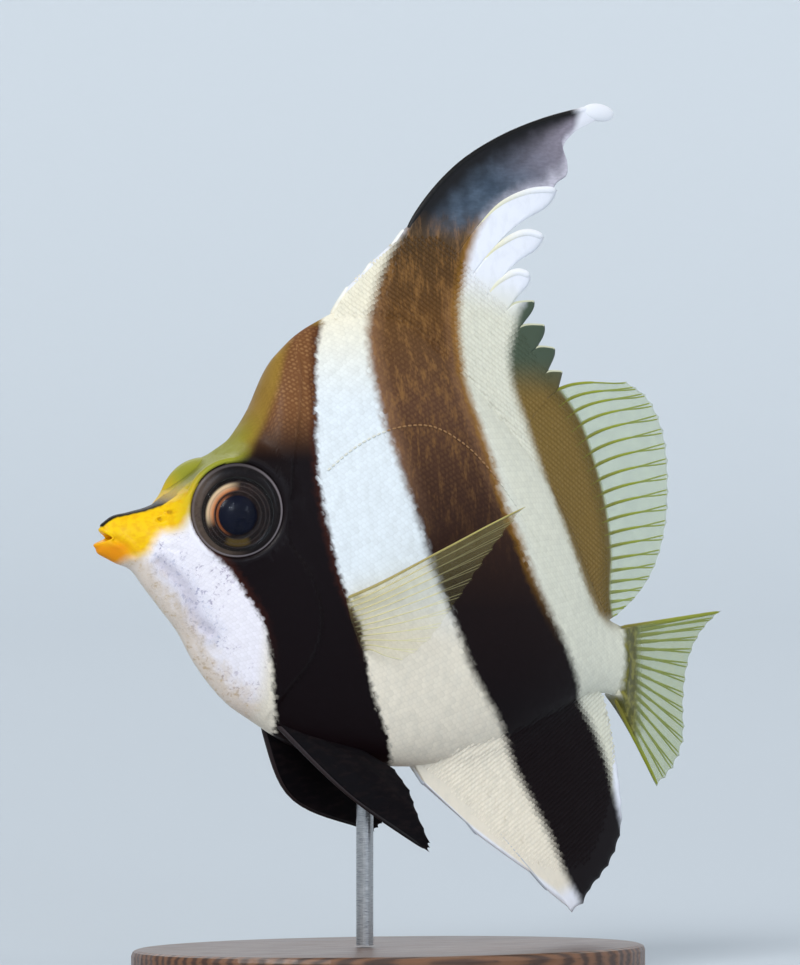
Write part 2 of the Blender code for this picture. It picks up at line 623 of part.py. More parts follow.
def main():
    """Builds every node."""
    remove_all()
    finishes = {
        "white": material("pearl_white", (0.86, 0.85, 0.80), 0.35),
        "dark": material("band_brown_black", (0.035, 0.018, 0.014), 0.4),
        "olive": material("ray_olive_yellow", (0.42, 0.46, 0.10), 0.4),
        "pale": material("clear_yellow", (0.85, 0.80, 0.45), 0.35),
    }
    make_flesh(finishes["white"], finishes["white"])
    make_eyes(material("eye_dark", (0.02, 0.02, 0.03), 0.05))
    make_unpaired_fins(finishes)
    make_paired_fins(finishes)
    make_stand(material("brushed_steel", (0.6, 0.6, 0.6), 0.3, 1.0),
               material("dark_wood", (0.09, 0.045, 0.025), 0.45))


main()
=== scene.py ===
"""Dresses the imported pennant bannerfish: skin, scales, eyes, fins and stand.

Sizes are in millimetres and become metres when a mesh is made. The fish is shaped straight and
then turned with its tail's swing. It faces -X, and its left side is -Y. The numbers in the
finishes are heights, places along the fish and depths inside a border, in millimetres too, or
shares of the way along and across a fin.
"""

import logging
import math
from collections.abc import Callable, Sequence
from dataclasses import dataclass, field
from enum import Enum

import bpy
import numpy as np
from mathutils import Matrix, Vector
from mathutils.bvhtree import BVHTree


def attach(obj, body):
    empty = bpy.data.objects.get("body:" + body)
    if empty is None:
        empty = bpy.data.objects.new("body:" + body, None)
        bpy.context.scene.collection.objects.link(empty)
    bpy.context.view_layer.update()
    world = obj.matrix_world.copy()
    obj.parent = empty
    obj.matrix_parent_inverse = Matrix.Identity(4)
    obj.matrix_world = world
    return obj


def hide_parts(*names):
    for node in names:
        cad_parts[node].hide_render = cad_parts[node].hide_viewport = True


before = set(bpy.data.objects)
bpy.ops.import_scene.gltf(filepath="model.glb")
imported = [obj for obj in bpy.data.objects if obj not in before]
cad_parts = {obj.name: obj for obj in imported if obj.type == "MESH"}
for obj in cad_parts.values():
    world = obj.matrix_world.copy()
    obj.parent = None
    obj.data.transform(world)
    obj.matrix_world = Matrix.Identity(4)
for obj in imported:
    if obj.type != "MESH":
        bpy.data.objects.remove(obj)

LOG = logging.getLogger("bannerfish")
MM = 0.001
IMAGE_HEIGHT = 965
MM_PER_PIXEL = 0.145
CAMERA_TURN = math.radians(-24)
CAMERA_DISTANCE = 1200.0
FRAME_CENTRE = (1.45, 72.3)
SLOPE_STEP = 0.3  # how far to each side a border's slope is measured, in millimetres
FAR = 9.0  # the distance given to a corner that is nowhere near a fold or nostril
PATCH = 0.003  # how much of the unwrap one scale takes up

Array, Material, Thing = np.ndarray, bpy.types.Material, bpy.types.Object
Line = Callable[[Array], Array]
Faces = list[tuple[int, ...]]
Finishes = dict[str, Material]


class Side(Enum):
    """A side of the fish, by the sign of y."""

    LEFT = -1
    RIGHT = 1


def curve(points: Sequence[tuple[float, float]]) -> Line:
    """A smooth curve through points whose first number rises.

    Args:
        points: Pairs of place and value.

    Returns:
        A function that gives the value at any place.
    """
    table = np.array(points, float)
    xs, values = table[:, 0], table[:, 1]
    slopes = np.gradient(values, xs)

    def at(x: Array) -> Array:
        """The value at x."""
        x = np.clip(x, xs[0], xs[-1])
        i = np.clip(np.searchsorted(xs, x, side="right") - 1, 0, len(xs) - 2)
        h = xs[i + 1] - xs[i]
        t = (x - xs[i]) / h
        start = (1 + 2 * t) * (1 - t) ** 2 * values[i] + t * (1 - t) ** 2 * h * slopes[i]
        end = t * t * (3 - 2 * t) * values[i + 1] + t * t * (t - 1) * h * slopes[i + 1]
        return start + end

    return at


def path(points: Sequence[Sequence[float]]) -> Line:
    """A smooth line through points, run from 0 to 1.

    Args:
        points: Points in two or three dimensions.

    Returns:
        A function that gives the point at any share of the line's length.
    """
    spots = np.array(points, float)
    along = np.concatenate([[0], np.cumsum(np.linalg.norm(np.diff(spots, axis=0), axis=1))])
    parts = [curve(np.column_stack([along / along[-1], column])) for column in spots.T]
    return lambda t: np.stack([part(np.asarray(t, float)) for part in parts], axis=-1)


def between(first: Line, second: Line, share: float) -> Line:
    """A line part of the way from one line to another."""
    return lambda t: first(t) * (1 - share) + second(t) * share


def first_part(line: Line, end: float) -> Line:
    """The first part of a line, up to a share of its length."""
    return lambda t: line(np.asarray(t) * end)


def rise(value: Array, low: float, high: float) -> Array:
    """An eased step from 0 at low to 1 at high."""
    share = np.clip((value - low) / (high - low), 0, 1)
    return share * share * (3 - 2 * share)


def distance_to(line: Sequence[tuple[float, float]], x: Array, z: Array) -> Array:
    """The distance from points (x, z) to a bent line.

    Args:
        line: The line's corners.
        x: Places along the fish.
        z: Heights.

    Returns:
        The distance of each point, in millimetres.
    """
    best = np.full(np.shape(x), 1e3)
    corners = path(line)(np.linspace(0, 1, 25))
    for (ax, az), (bx, bz) in zip(corners[:-1], corners[1:]):
        length = (bx - ax) ** 2 + (bz - az) ** 2
        t = np.clip(((x - ax) * (bx - ax) + (z - az) * (bz - az)) / length, 0, 1)
        best = np.minimum(best, np.hypot(x - ax - t * (bx - ax), z - az - t * (bz - az)))
    return best


def steepness(line: Line, place: Array) -> Array:
    """How many times longer a distance to a line is along one axis than square to it."""
    slope = (line(place + SLOPE_STEP) - line(place - SLOPE_STEP)) / (2 * SLOPE_STEP)
    return np.sqrt(1 + slope * slope)


def unit(arrows: Array) -> Array:
    """Arrows brought to length 1, with their parts along the last axis."""
    return arrows / np.maximum(np.linalg.norm(arrows, axis=-1, keepdims=True), 1e-9)


@dataclass(frozen=True)
class Swing:
    """The arc along which the tail turns away from the camera."""

    start: float = 8.0
    end: float = 46.0
    angle: float = math.radians(24)

    def turn(self, points: Array) -> Array:
        """Turns straight-fish points.

        Args:
            points: Points (x, y, z) of the straight fish, in rows.

        Returns:
            The same points on the fish as it swims.
        """
        points = np.array(points, float).reshape(-1, 3)
        samples = np.linspace(self.start, 90.0, 2000)
        angles = self.angle * rise(samples, self.start, self.end)
        step = samples[1] - samples[0]
        run = self.start + np.concatenate([[0], np.cumsum(np.cos(angles[:-1]) * step)])
        off = np.concatenate([[0], np.cumsum(np.sin(angles[:-1]) * step)])
        x, y, z = points.T
        angle = np.interp(x, samples, angles)
        middle_x = np.where(x < self.start, x, np.interp(x, samples, run))
        middle_y = np.interp(x, samples, off)
        return np.column_stack([middle_x - y * np.sin(angle), middle_y + y * np.cos(angle), z])


SWING = Swing()


@dataclass(frozen=True)
class Blank:
    """The corners and faces of a primitive, with the place of each corner as numbers."""

    along: Array
    turn: Array
    faces: Faces

    @classmethod
    def ball(cls, rows: int, sides: int) -> "Blank":
        """A ball, whose rows run along the fish and whose sides run round it.

        Args:
            rows: Bands of faces from pole to pole.
            sides: Faces in each band.

        Returns:
            The ball's corners as row and side numbers, and its faces.
        """
        bpy.ops.object.select_all(action="DESELECT")
        bpy.ops.mesh.primitive_uv_sphere_add(segments=sides, ring_count=rows, radius=1)
        x, y, z = corners_of(bpy.context.object).T
        along = np.rint(np.arccos(np.clip(-z, -1, 1)) / math.pi * rows).astype(int)
        turn = np.rint(np.arctan2(y, x) / (2 * math.pi) * sides).astype(int) % sides
        return cls(along, turn, faces_of_and_remove(bpy.context.object))

    @classmethod
    def sheet(cls, columns: int, rows: int) -> "Blank":
        """A flat grid, with the numbers of the column and row of each corner."""
        bpy.ops.object.select_all(action="DESELECT")
        bpy.ops.mesh.primitive_grid_add(x_subdivisions=columns, y_subdivisions=rows, size=2)
        x, y, _ = corners_of(bpy.context.object).T
        along = np.rint((x + 1) / 2 * columns).astype(int)
        turn = np.rint((y + 1) / 2 * rows).astype(int)
        return cls(along, turn, faces_of_and_remove(bpy.context.object))

    @classmethod
    def disc(cls, sides: int) -> "Blank":
        """A thin closed disc: along is 0 below and 1 above, and turn is -1 in the middle."""
        bpy.ops.object.select_all(action="DESELECT")
        bpy.ops.mesh.primitive_cylinder_add(vertices=sides, end_fill_type="TRIFAN", depth=2)
        x, y, z = corners_of(bpy.context.object).T
        turn = np.rint(np.arctan2(y, x) / (2 * math.pi) * sides).astype(int) % sides
        turn = np.where(np.hypot(x, y) < 0.1, -1, turn)
        return cls((z > 0).astype(int), turn, faces_of_and_remove(bpy.context.object))


def corners_of(thing: Thing) -> Array:
    """The corners of an object's mesh, in rows."""
    places = np.empty(len(thing.data.vertices) * 3)
    thing.data.vertices.foreach_get("co", places)
    return places.reshape(-1, 3)


def faces_of_and_remove(thing: Thing) -> Faces:
    """The faces of a primitive, which is then removed."""
    faces = [tuple(face.vertices) for face in thing.data.polygons]
    mesh = thing.data
    bpy.data.objects.remove(thing)
    bpy.data.meshes.remove(mesh)
    return faces


@dataclass
class Piece:
    """A shape that is being laid out: its corners, faces and what each corner carries."""

    name: str
    points: list[Array] = field(default_factory=list)
    faces: Faces = field(default_factory=list)
    marks: dict[str, list[Array]] = field(default_factory=dict)
    patches: list[Array] = field(default_factory=list)
    count: int = 0
    thin: bool = False

    def add(self, points: Array, faces: Faces, marks: dict[str, Array],
            patch: Array | None = None) -> None:
        """Adds one closed shape.

        Args:
            points: Its corners, in millimetres.
            faces: Its faces, by corner number from 0.
            marks: A value for each corner under each name.
            patch: Its corners' places on the unwrap.
        """
        start = self.count
        self.points.append(points)
        self.faces += [tuple(start + corner for corner in face) for face in faces]
        for name, values in marks.items():
            self.marks.setdefault(name, []).append(np.broadcast_to(values, len(points)))
        if patch is not None:
            self.patches.append(patch)
        self.count += len(points)

    def made(self, finish: Material, slot: str, swung: bool = True) -> Thing:
        """Turns what was laid out into an object that rides on the fish.

        Args:
            finish: The material of the piece.
            slot: The record's material slot; not used.
            swung: Whether the tail's swing still has to be given to the corners.

        Returns:
            The object.
        """
        points = np.vstack(self.points)
        mesh = bpy.data.meshes.new(self.name)
        placed = SWING.turn(points) if swung else points
        mesh.from_pydata((placed * MM).tolist(), [], self.faces)
        for name, values in self.marks.items():
            layer = mesh.attributes.new(name, "FLOAT", "POINT")
            layer.data.foreach_set("value", np.concatenate(values).astype(np.float32))
        if self.patches:
            corners = np.empty(len(mesh.loops), int)
            mesh.loops.foreach_get("vertex_index", corners)
            unwrap = mesh.uv_layers.new(name="OFBake")
            places = np.vstack(self.patches)[corners]
            unwrap.data.foreach_set("uv", places.astype(np.float32).ravel())
        mesh.shade_smooth()
        if self.thin:
            edges = np.empty(len(mesh.loops), int)
            mesh.loops.foreach_get("edge_index", edges)
            sides = np.array([len(face) for face in self.faces])
            sharp = np.zeros(len(mesh.edges), bool)
            sharp[edges[np.repeat(sides == 4, sides)]] = True
            rims = mesh.attributes.new("sharp_edge", "BOOLEAN", "EDGE")
            rims.data.foreach_set("value", sharp)
        mesh.materials.append(finish)
        thing = bpy.data.objects.new(self.name, mesh)
        bpy.context.scene.collection.objects.link(thing)
        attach(thing, "root")
        LOG.info("%s: %d corners, %d faces", self.name, len(points), len(self.faces))
        return thing


@dataclass(frozen=True)
class Markings:
    """The borders of the fish's bands and patches, as (height, place along the fish)."""

    first_front: tuple = (
        (28, -17), (33, -18.2), (37.8, -19.1), (40.9, -20), (46.4, -21), (50.8, -22.2),
        (53.1, -23.1), (56.2, -25.2), (59.8, -27.8), (62.8, -31), (66.2, -33.2), (70, -34),
        (76, -34), (95, -34))
    first_rear: tuple = (
        (28, 1.6), (32.6, -1.4), (35, -2.4), (41.5, -5.6), (46.7, -7.2), (52, -8.4),
        (56.2, -10.5), (65.5, -13.2), (73.7, -14.5), (84.2, -14), (90, -13.1), (95.7, -11),
        (99, -9))
    second_front: tuple = (
        (9, 33.5), (12.2, 31), (14.9, 29.1), (19.7, 26.6), (24.5, 23.6), (30.2, 20), (36.5, 16.4),
        (43.7, 10.9), (52.2, 6.7), (59.4, 3.3), (64.7, 1.5), (73, -1.4), (81.2, -3.9),
        (87.2, -4.9), (94.3, -4.7), (98.6, -3.2), (104.3, -0.8), (109.5, 2.5))
    second_rear: tuple = (
        (9, 46), (16, 43), (21.8, 40.6), (26.2, 38.9), (31, 37.3), (36, 34.4), (41, 30.4),
        (45.7, 27.5), (51.3, 24.3), (57.6, 20.6), (64.7, 17.8), (68.8, 16), (75.4, 14.1),
        (81.8, 12.4), (87.1, 11.2), (92.2, 10.9), (97.3, 10.8), (103.1, 11.9), (108.2, 13.5),
        (112, 15.5))
    third_front: tuple = (
        (45, 39), (51.4, 35.2), (53.3, 33.2), (59, 29.9), (66, 26.9), (73, 24.3), (80.2, 21.7),
        (87.1, 19.2), (91.5, 18.9), (95.1, 19.9), (98, 20.9), (101, 23.5), (104, 29))
    clear_rim: tuple = (
        (48, 38.4), (51.2, 38.6), (54.5, 37.9), (62.1, 38.1), (69, 36.9), (76.6, 34.1),
        (81.9, 31.4), (85, 28.8), (88, 26))
    yellow_from: tuple = (
        (-47, 57), (-43.5, 60), (-42.3, 61.2), (-39.2, 62.6), (-37.8, 64.8), (-34.4, 66.6),
        (-33, 69.9), (-31, 72.6), (-27.2, 75.2), (-24.4, 78), (-22.2, 81.6), (-20.2, 86),
        (-18, 91), (-15, 96))

    def measure(self, points: Array) -> dict[str, Array]:
        """How deep each point lies inside each marking, in millimetres.

        Args:
            points: Points (x, y, z) of the straight fish, in rows.

        Returns:
            Depths by marking: below 0 outside it, above 0 inside.
        """
        x, y, z = points.T

        def past(border: tuple) -> Array:
            """The distance behind a border, measured square to it."""
            line = curve(border)
            return (x - line(z)) / steepness(line, z)

        line = curve(self.yellow_from)
        return {
            "first_band": np.minimum(past(self.first_front), -past(self.first_rear)),
            "second_band": np.minimum(past(self.second_front), -past(self.second_rear)),
            "second_rear": -past(self.second_rear),
            "third_band": past(self.third_front),
            "clear_rim": past(self.clear_rim),
            "yellow": (z - line(x)) / steepness(line, x),
            "fish_x": x,
            "crest": curve(FORM.back)(x) - z
                     + 0.8 * rise(x, -39.0, -36.0) * np.maximum(np.abs(y) - 2.2, 0),
            "keel": z - curve(FORM.belly)(x),
            "fold": np.full(len(x), FAR),
            "nostril": np.full(len(x), FAR),
        }


MARKINGS = Markings()


@dataclass(frozen=True)
class Form:
    """The form of the flesh: its outline from the side, its width and its face."""

    back: tuple = (
        (-45.1, 66.5), (-43.9, 67.4), (-41, 68.2), (-37.9, 69), (-35.4, 70.1), (-32.5, 72.2),
        (-29.5, 74.3), (-26.6, 76.7), (-23.6, 80.3), (-21.3, 84.3), (-19.4, 88.8), (-16.6, 92.2),
        (-10.8, 96.1), (-5.5, 98.2), (0.5, 98), (8, 92.6), (18, 82.4), (28, 69.4), (34, 57.6),
        (37, 52.9), (40.3, 51.2))
    belly: tuple = (
        (-45.1, 62), (-42.8, 60.7), (-40.2, 59.4), (-38.5, 57.2), (-35.5, 53.5), (-32.9, 50.2),
        (-31, 46.8), (-28.7, 43.6), (-26, 40.7), (-21.6, 37.7), (-15.9, 34.3), (-7.9, 31.9),
        (0.8, 31), (9.5, 31.4), (17.6, 33.4), (26, 37.3), (33, 40.7), (36.5, 41.2), (40.3, 40.4))
    half_width: tuple = (
        (-45.1, 1.7), (-43, 2.1), (-41, 2.6), (-38, 3.5), (-35, 4.5), (-31, 5.7), (-27, 6.5),
        (-22, 7.3), (-16, 8.2), (-10, 8.7), (-2, 8.9), (6, 8.4), (14, 7.2), (22, 5.6), (29, 3.9),
        (34, 2.7), (38, 2.1), (40.3, 1.8))
    thickest: tuple = (
        (-45.1, 64.3), (-41, 64.2), (-36, 63.6), (-31, 64.3), (-26, 65), (-20, 64), (-12, 61),
        (0, 58.5), (10, 56), (20, 52), (30, 48), (36, 46.6), (40.3, 45.8))
    back_edge: tuple = (
        (-45.1, 0.9), (-36, 0.75), (-30, 0.6), (-26, 0.68), (-22, 0.95), (-18, 1.2), (-12, 1.35),
        (20, 1.35), (34, 1.1), (40.3, 1))
    belly_edge: tuple = (
        (-45.1, 0.9), (-30, 1.1), (-20, 1), (0, 0.85), (10, 1.1), (20, 1.3), (34, 1.1), (40.3, 1))
    gill_edge: tuple = (
        (30, -21.6), (37.5, -21), (42, -18.8), (47, -15.6), (53, -14.5), (58.5, -16), (64, -19.4),
        (72, -19), (84, -16.5), (100, -14.6))
    full_half_width: float = 8.4
    snout_x: float = -45.1
    tail_x: float = 40.3
    upper_lip_x: float = -45.6
    lower_lip_x: float = -46.4
    mouth_corner_x: float = -44.1
    throat_x: float = -41.9
    mouth_z: float = 64.35
    lip_rings: tuple = (
        (0.93, 1.75, 1.65, 1.65), (1, 1.35, 1.15, 1.5), (0.86, 0.85, 0.75, 1.25),
        (0.35, 0.5, 0.45, 0.9))
    corner_setback: float = 1.6
    setback_end_x: float = -39.5
    gill_cover_rise: float = 0.4
    gill_cover_length: float = 9.0
    eye: tuple = (-26.8, 6.55, 68.35)
    orbit_radius: float = 7.5
    brow_radius: float = 10.6
    eye_tilt: float = math.radians(9)
    nostrils: tuple = ((-37.2, 67), (-36, 68))
    cheek_fold: tuple = (
        (-37.4, 61), (-36.6, 60.2), (-34.4, 58), (-32.9, 55.6), (-32.1, 53.2), (-29.9, 50.8))
    jaw_fold: tuple = ((-44, 64.3), (-42.4, 63.5), (-41, 61.9))
    chin_fold: tuple = ((-38.9, 63.2), (-36.6, 62.9), (-34.4, 62.6))
    fold_sizes: tuple = ((0.28, 0.5), (0.3, 0.35), (0.1, 0.3))
    nostril_depth: float = 0.5
    orbit_rim: tuple = (0.28, 7.35, 0.42)
    orbit_bowl: tuple = (1.9, 5.9, 6.95)
    orbit_hold: tuple = (7.3, 8.4)

    def face(self, x: Array, y: Array, z: Array) -> Array:
        """Works the small forms of the face into the side of the head.

        Args:
            x: Places along the fish.
            y: Distances from the middle, with their sign.
            z: Heights.

        Returns:
            The new distances from the middle.
        """
        side, out = np.sign(y), np.abs(y)
        folds = (self.cheek_fold, self.jaw_fold, self.chin_fold)
        for line, (depth, width) in zip(folds, self.fold_sizes):
            away = distance_to(line, x, z)
            out = out - depth * np.exp(-(away / width) ** 2)
            out = out + 0.35 * depth * np.exp(-((away - 2.2 * width) / width) ** 2)
        for nx, nz in self.nostrils:
            away = np.hypot(x - nx, z - nz)
            pit = self.nostril_depth * (1 - rise(away, 0.15, 0.5))
            out = out - pit + 0.1 * np.exp(-((away - 0.6) / 0.2) ** 2)
        ex, ey, ez = self.eye
        away = np.hypot((x - ex) / math.cos(self.eye_tilt), z - ez)
        level = ey + (x - ex) * math.tan(self.eye_tilt)
        height, radius, width = self.orbit_rim
        depth, inner, outer = self.orbit_bowl
        rim = height * np.exp(-((away - radius) / width) ** 2)
        rim = rim - depth * (1 - rise(away, inner, outer))
        held = (1 - rise(away, *self.orbit_hold)) * (out > 1.2)
        return side * (out * (1 - held) + (level + rim) * held)

    def to_nostril(self, x: Array, z: Array) -> Array:
        """The distance to the nearer nostril, seen from the side."""
        return np.min([np.hypot(x - nx, z - nz) for nx, nz in self.nostrils], axis=0)

    def half_at(self, x: Array, z: Array) -> Array:
        """Half the flesh's thickness at places along the fish and heights."""
        middle = curve(self.thickest)(x)
        upper = z > middle
        reach = np.where(upper, curve(self.back)(x) - middle, middle - curve(self.belly)(x))
        edge = np.where(upper, curve(self.back_edge)(x), curve(self.belly_edge)(x))
        side = np.sqrt(np.clip(1 - ((z - middle) / reach) ** 2, 0, 1))
        return curve(self.half_width)(x) * side ** edge

    def section(self, x: Array, angle: Array, swell: float) -> Array:
        """Points on the flesh.

        Args:
            x: Places along the fish, shaped (n, 1).
            angle: Angles round the section from the right side upwards, shaped (m,).
            swell: How far the surface stands outside the flesh.

        Returns:
            Points, shaped (n, m, 3).
        """
        side, up = np.cos(angle), np.sin(angle)
        upper = up >= 0
        middle = curve(self.thickest)(x)
        top, bottom = curve(self.back)(x), curve(self.belly)(x)
        reach = np.where(upper, top - middle, middle - bottom) + swell
        edge = np.where(upper, curve(self.back_edge)(x), curve(self.belly_edge)(x))
        z = middle + reach * up
        y = (curve(self.half_width)(x) + swell) * np.sign(side) * np.abs(side) ** edge
        fade = np.clip((self.setback_end_x - x) / (self.setback_end_x - self.snout_x), 0, 1)
        setback = self.corner_setback * fade * (1 - np.abs(up) ** 1.5)
        xs = x + setback + np.where(upper, 0, -0.5 * fade * np.abs(up))
        away = np.hypot(xs - self.eye[0], z - self.eye[2])
        brow = 1 - rise(away, self.orbit_radius, self.brow_radius)
        brow = brow * np.minimum(1, np.abs(side) / 0.38)
        level = self.eye[1] + swell + (xs - self.eye[0]) * math.tan(self.eye_tilt)
        y = y + np.sign(side) * np.maximum(level - np.abs(y), 0) * brow
        edge_x = curve(self.gill_edge)(z)
        behind_eye = np.clip(1 - (edge_x - xs) / self.gill_cover_length, 0, 1)
        on_head = 1 - rise(xs - edge_x, -0.1, 0.55)
        cover = self.gill_cover_rise * behind_eye * np.minimum(1, 2 * np.abs(side)) * on_head
        y = y + np.sign(side) * cover
        return np.stack([xs, self.face(xs, y, z), z], axis=-1)

    def lips(self, angle: Array, swell: float) -> list[Array]:
        """The rings that turn the skin over the lips, from the inside of the mouth outwards."""
        side, up = np.cos(angle), np.sin(angle)
        tip = np.where(up >= 0, self.upper_lip_x, self.lower_lip_x)
        rings = []
        for forward, over, under, half in self.lip_rings[::-1]:
            front = self.mouth_corner_x + (tip - self.mouth_corner_x) * np.abs(up) ** 1.2
            x = self.throat_x + (front - self.throat_x) * forward - swell
            z = self.mouth_z + np.where(up >= 0, over + swell, under + swell) * up
            rings.append(np.column_stack([x, (half + swell) * side, z]))
        return rings


FORM = Form()


@dataclass
class Skin:
    """One closed skin over head, trunk and tail stem, from inside the mouth to the tail fin."""

    sides: int = 288
    lip_rows: int = 30
    head_step: float = 0.32
    trunk_step: float = 0.5
    fine_until: float = -12.0
    lip_reach: float = 1.25
    cap_rows: int = 12
    cap_length: float = 1.8
    cap_z: float = 45.8
    sunk: float = 0.13

    def rings(self) -> Array:
        """The skin's rings from front to back, shaped (rows + 1, sides, 3)."""
        angle = np.arange(self.sides) * 2 * math.pi / self.sides
        start = FORM.snout_x + self.lip_reach
        first = FORM.section(np.array([[FORM.snout_x], [start]]), angle, -self.sunk)
        middle = np.tile([FORM.throat_x + self.sunk, 0, FORM.mouth_z], (self.sides, 1))
        held = np.array([middle, *FORM.lips(angle, -self.sunk), *first])
        front = self.smooth(held)
        xs = np.concatenate([
            np.arange(start + self.head_step, self.fine_until, self.head_step),
            np.arange(self.fine_until, FORM.tail_x, self.trunk_step), [FORM.tail_x]])
        flesh = FORM.section(xs[:, None], angle, -self.sunk)
        shares = np.linspace(0, 1, self.cap_rows + 1)[1:, None]
        x, y, z = flesh[-1].T
        cap = np.stack([x + self.cap_length * shares, y * np.cos(shares * 1.45) ** 0.8,
                        self.cap_z + (z - self.cap_z) * (1 - 0.15 * shares)], axis=-1)
        end = np.tile([FORM.tail_x + self.cap_length, 0, self.cap_z], (1, self.sides, 1))
        return np.concatenate([front, flesh, cap, end])

    def smooth(self, held: Array) -> Array:
        """Rings that run smoothly through a few held rings."""
        count = len(held) - 1
        rings = []
        for p in np.linspace(0, count, self.lip_rows + 1):
            i = min(int(p), count - 1)
            t = p - i
            before, after = held[max(i - 1, 0)], held[min(i + 2, count)]
            a, b = held[i], held[i + 1]
            bend = 2 * before - 5 * a + 4 * b - after
            twist = 3 * a - before - 3 * b + after
            rings.append(0.5 * (2 * a + (b - before) * t + bend * t * t + twist * t ** 3))
        return np.array(rings)

    def build(self, finish: Material) -> Thing:
        """Builds the skin in place of the flesh's nodes.

        Args:
            finish: The skin's material.

        Returns:
            The skin's object.
        """
        rings = self.rings()
        blank = Blank.ball(len(rings) - 1, self.sides)
        points = rings[blank.along, blank.turn]
        marks = MARKINGS.measure(points)
        x, z = points[:, 0], points[:, 2]
        marks["fold"] = np.minimum(distance_to(FORM.cheek_fold, x, z),
                                   distance_to(FORM.jaw_fold, x, z))
        marks["nostril"] = FORM.to_nostril(x, z)
        piece = Piece("skin")
        piece.add(points, blank.faces, marks)
        made = piece.made(finish, "flesh")
        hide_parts("head", "trunk", "tail_stem")
        return made


@dataclass
class Flank:
    """A table of points on one side of the fish, by place along it and length round it."""

    side: Side
    step: float = 0.25
    reach: float = 60.0
    half_turns: int = 180

    def __post_init__(self) -> None:
        """Lays out the table, with each ring's lengths measured from its thickest level."""
        self.xs = np.arange(FORM.snout_x, FORM.tail_x + self.step, self.step)
        self.lengths = np.arange(-self.reach, self.reach + self.step, self.step)
        angle = np.linspace(-math.pi / 2, math.pi / 2, 2 * self.half_turns + 1)
        dense = FORM.section(self.xs[:, None], angle, -Skin.sunk)
        dense[..., 1] = np.abs(dense[..., 1])
        step = np.linalg.norm(np.diff(dense, axis=1), axis=2)
        run = np.concatenate([np.zeros((len(self.xs), 1)), np.cumsum(step, axis=1)], axis=1)
        run -= run[:, self.half_turns:self.half_turns + 1]
        self.low, self.high = run[:, 0], run[:, -1]
        self.points = np.array([
            np.column_stack([np.interp(self.lengths, run[i], dense[i, :, k]) for k in range(3)])
            for i in range(len(self.xs))])
        normal = unit(np.cross(np.gradient(self.points, axis=1), np.gradient(self.points, axis=0)))
        self.normals = normal * np.sign(normal[..., 1:2] + 1e-9)

    def at(self, x: Array, length: Array, lift: Array) -> Array:
        """Points over the flank.

        Args:
            x: Places along the fish.
            length: Lengths round it from the thickest level, upwards.
            lift: Heights above the skin.

        Returns:
            Points (x, y, z) on the wanted side.
        """
        i = np.clip((x - self.xs[0]) / self.step, 0, len(self.xs) - 1.001)
        j = np.clip((length + self.reach) / self.step, 0, len(self.lengths) - 1.001)
        i0, j0 = i.astype(int), j.astype(int)
        fi, fj = (i - i0)[..., None], (j - j0)[..., None]

        def mixed(table: Array) -> Array:
            """The table's value between its four nearest entries."""
            low = table[i0, j0] * (1 - fj) + table[i0, j0 + 1] * fj
            high = table[i0 + 1, j0] * (1 - fj) + table[i0 + 1, j0 + 1] * fj
            return low * (1 - fi) + high * fi

        spots = mixed(self.points) + mixed(self.normals) * np.asarray(lift)[..., None]
        return spots * np.array([1, self.side.value, 1])


@dataclass
class ScaleShape:
    """The outline of one scale, for a scale as long and as wide as one unit."""

    sides: int = 8
    thickness: float = 0.008
    root_sunk: float = 0.002
    rear_lift: float = 0.02
    dome: float = 0.002

    def corners(self, blank: Blank) -> tuple[Array, Array, Array]:
        """The corners of a scale.

        Args:
            blank: The disc that it is made from.

        Returns:
            Each corner's share along the scale, share across it, and lift in millimetres.
        """
        angle = blank.turn * 2 * math.pi / self.sides
        middle = blank.turn < 0
        along = np.where(middle, 0.15, 0.5 * np.cos(angle) + 0.06 * np.cos(2 * angle))
        across = np.where(middle, 0, 0.5 * np.sin(angle) * (1 + 0.12 * np.cos(angle)))
        slope = along + 0.5
        lift = -self.root_sunk + (self.rear_lift + self.root_sunk) * slope
        lift = lift + np.where(middle, self.dome, 0) * blank.along
        return along, across, lift + self.thickness * (blank.along - 1)


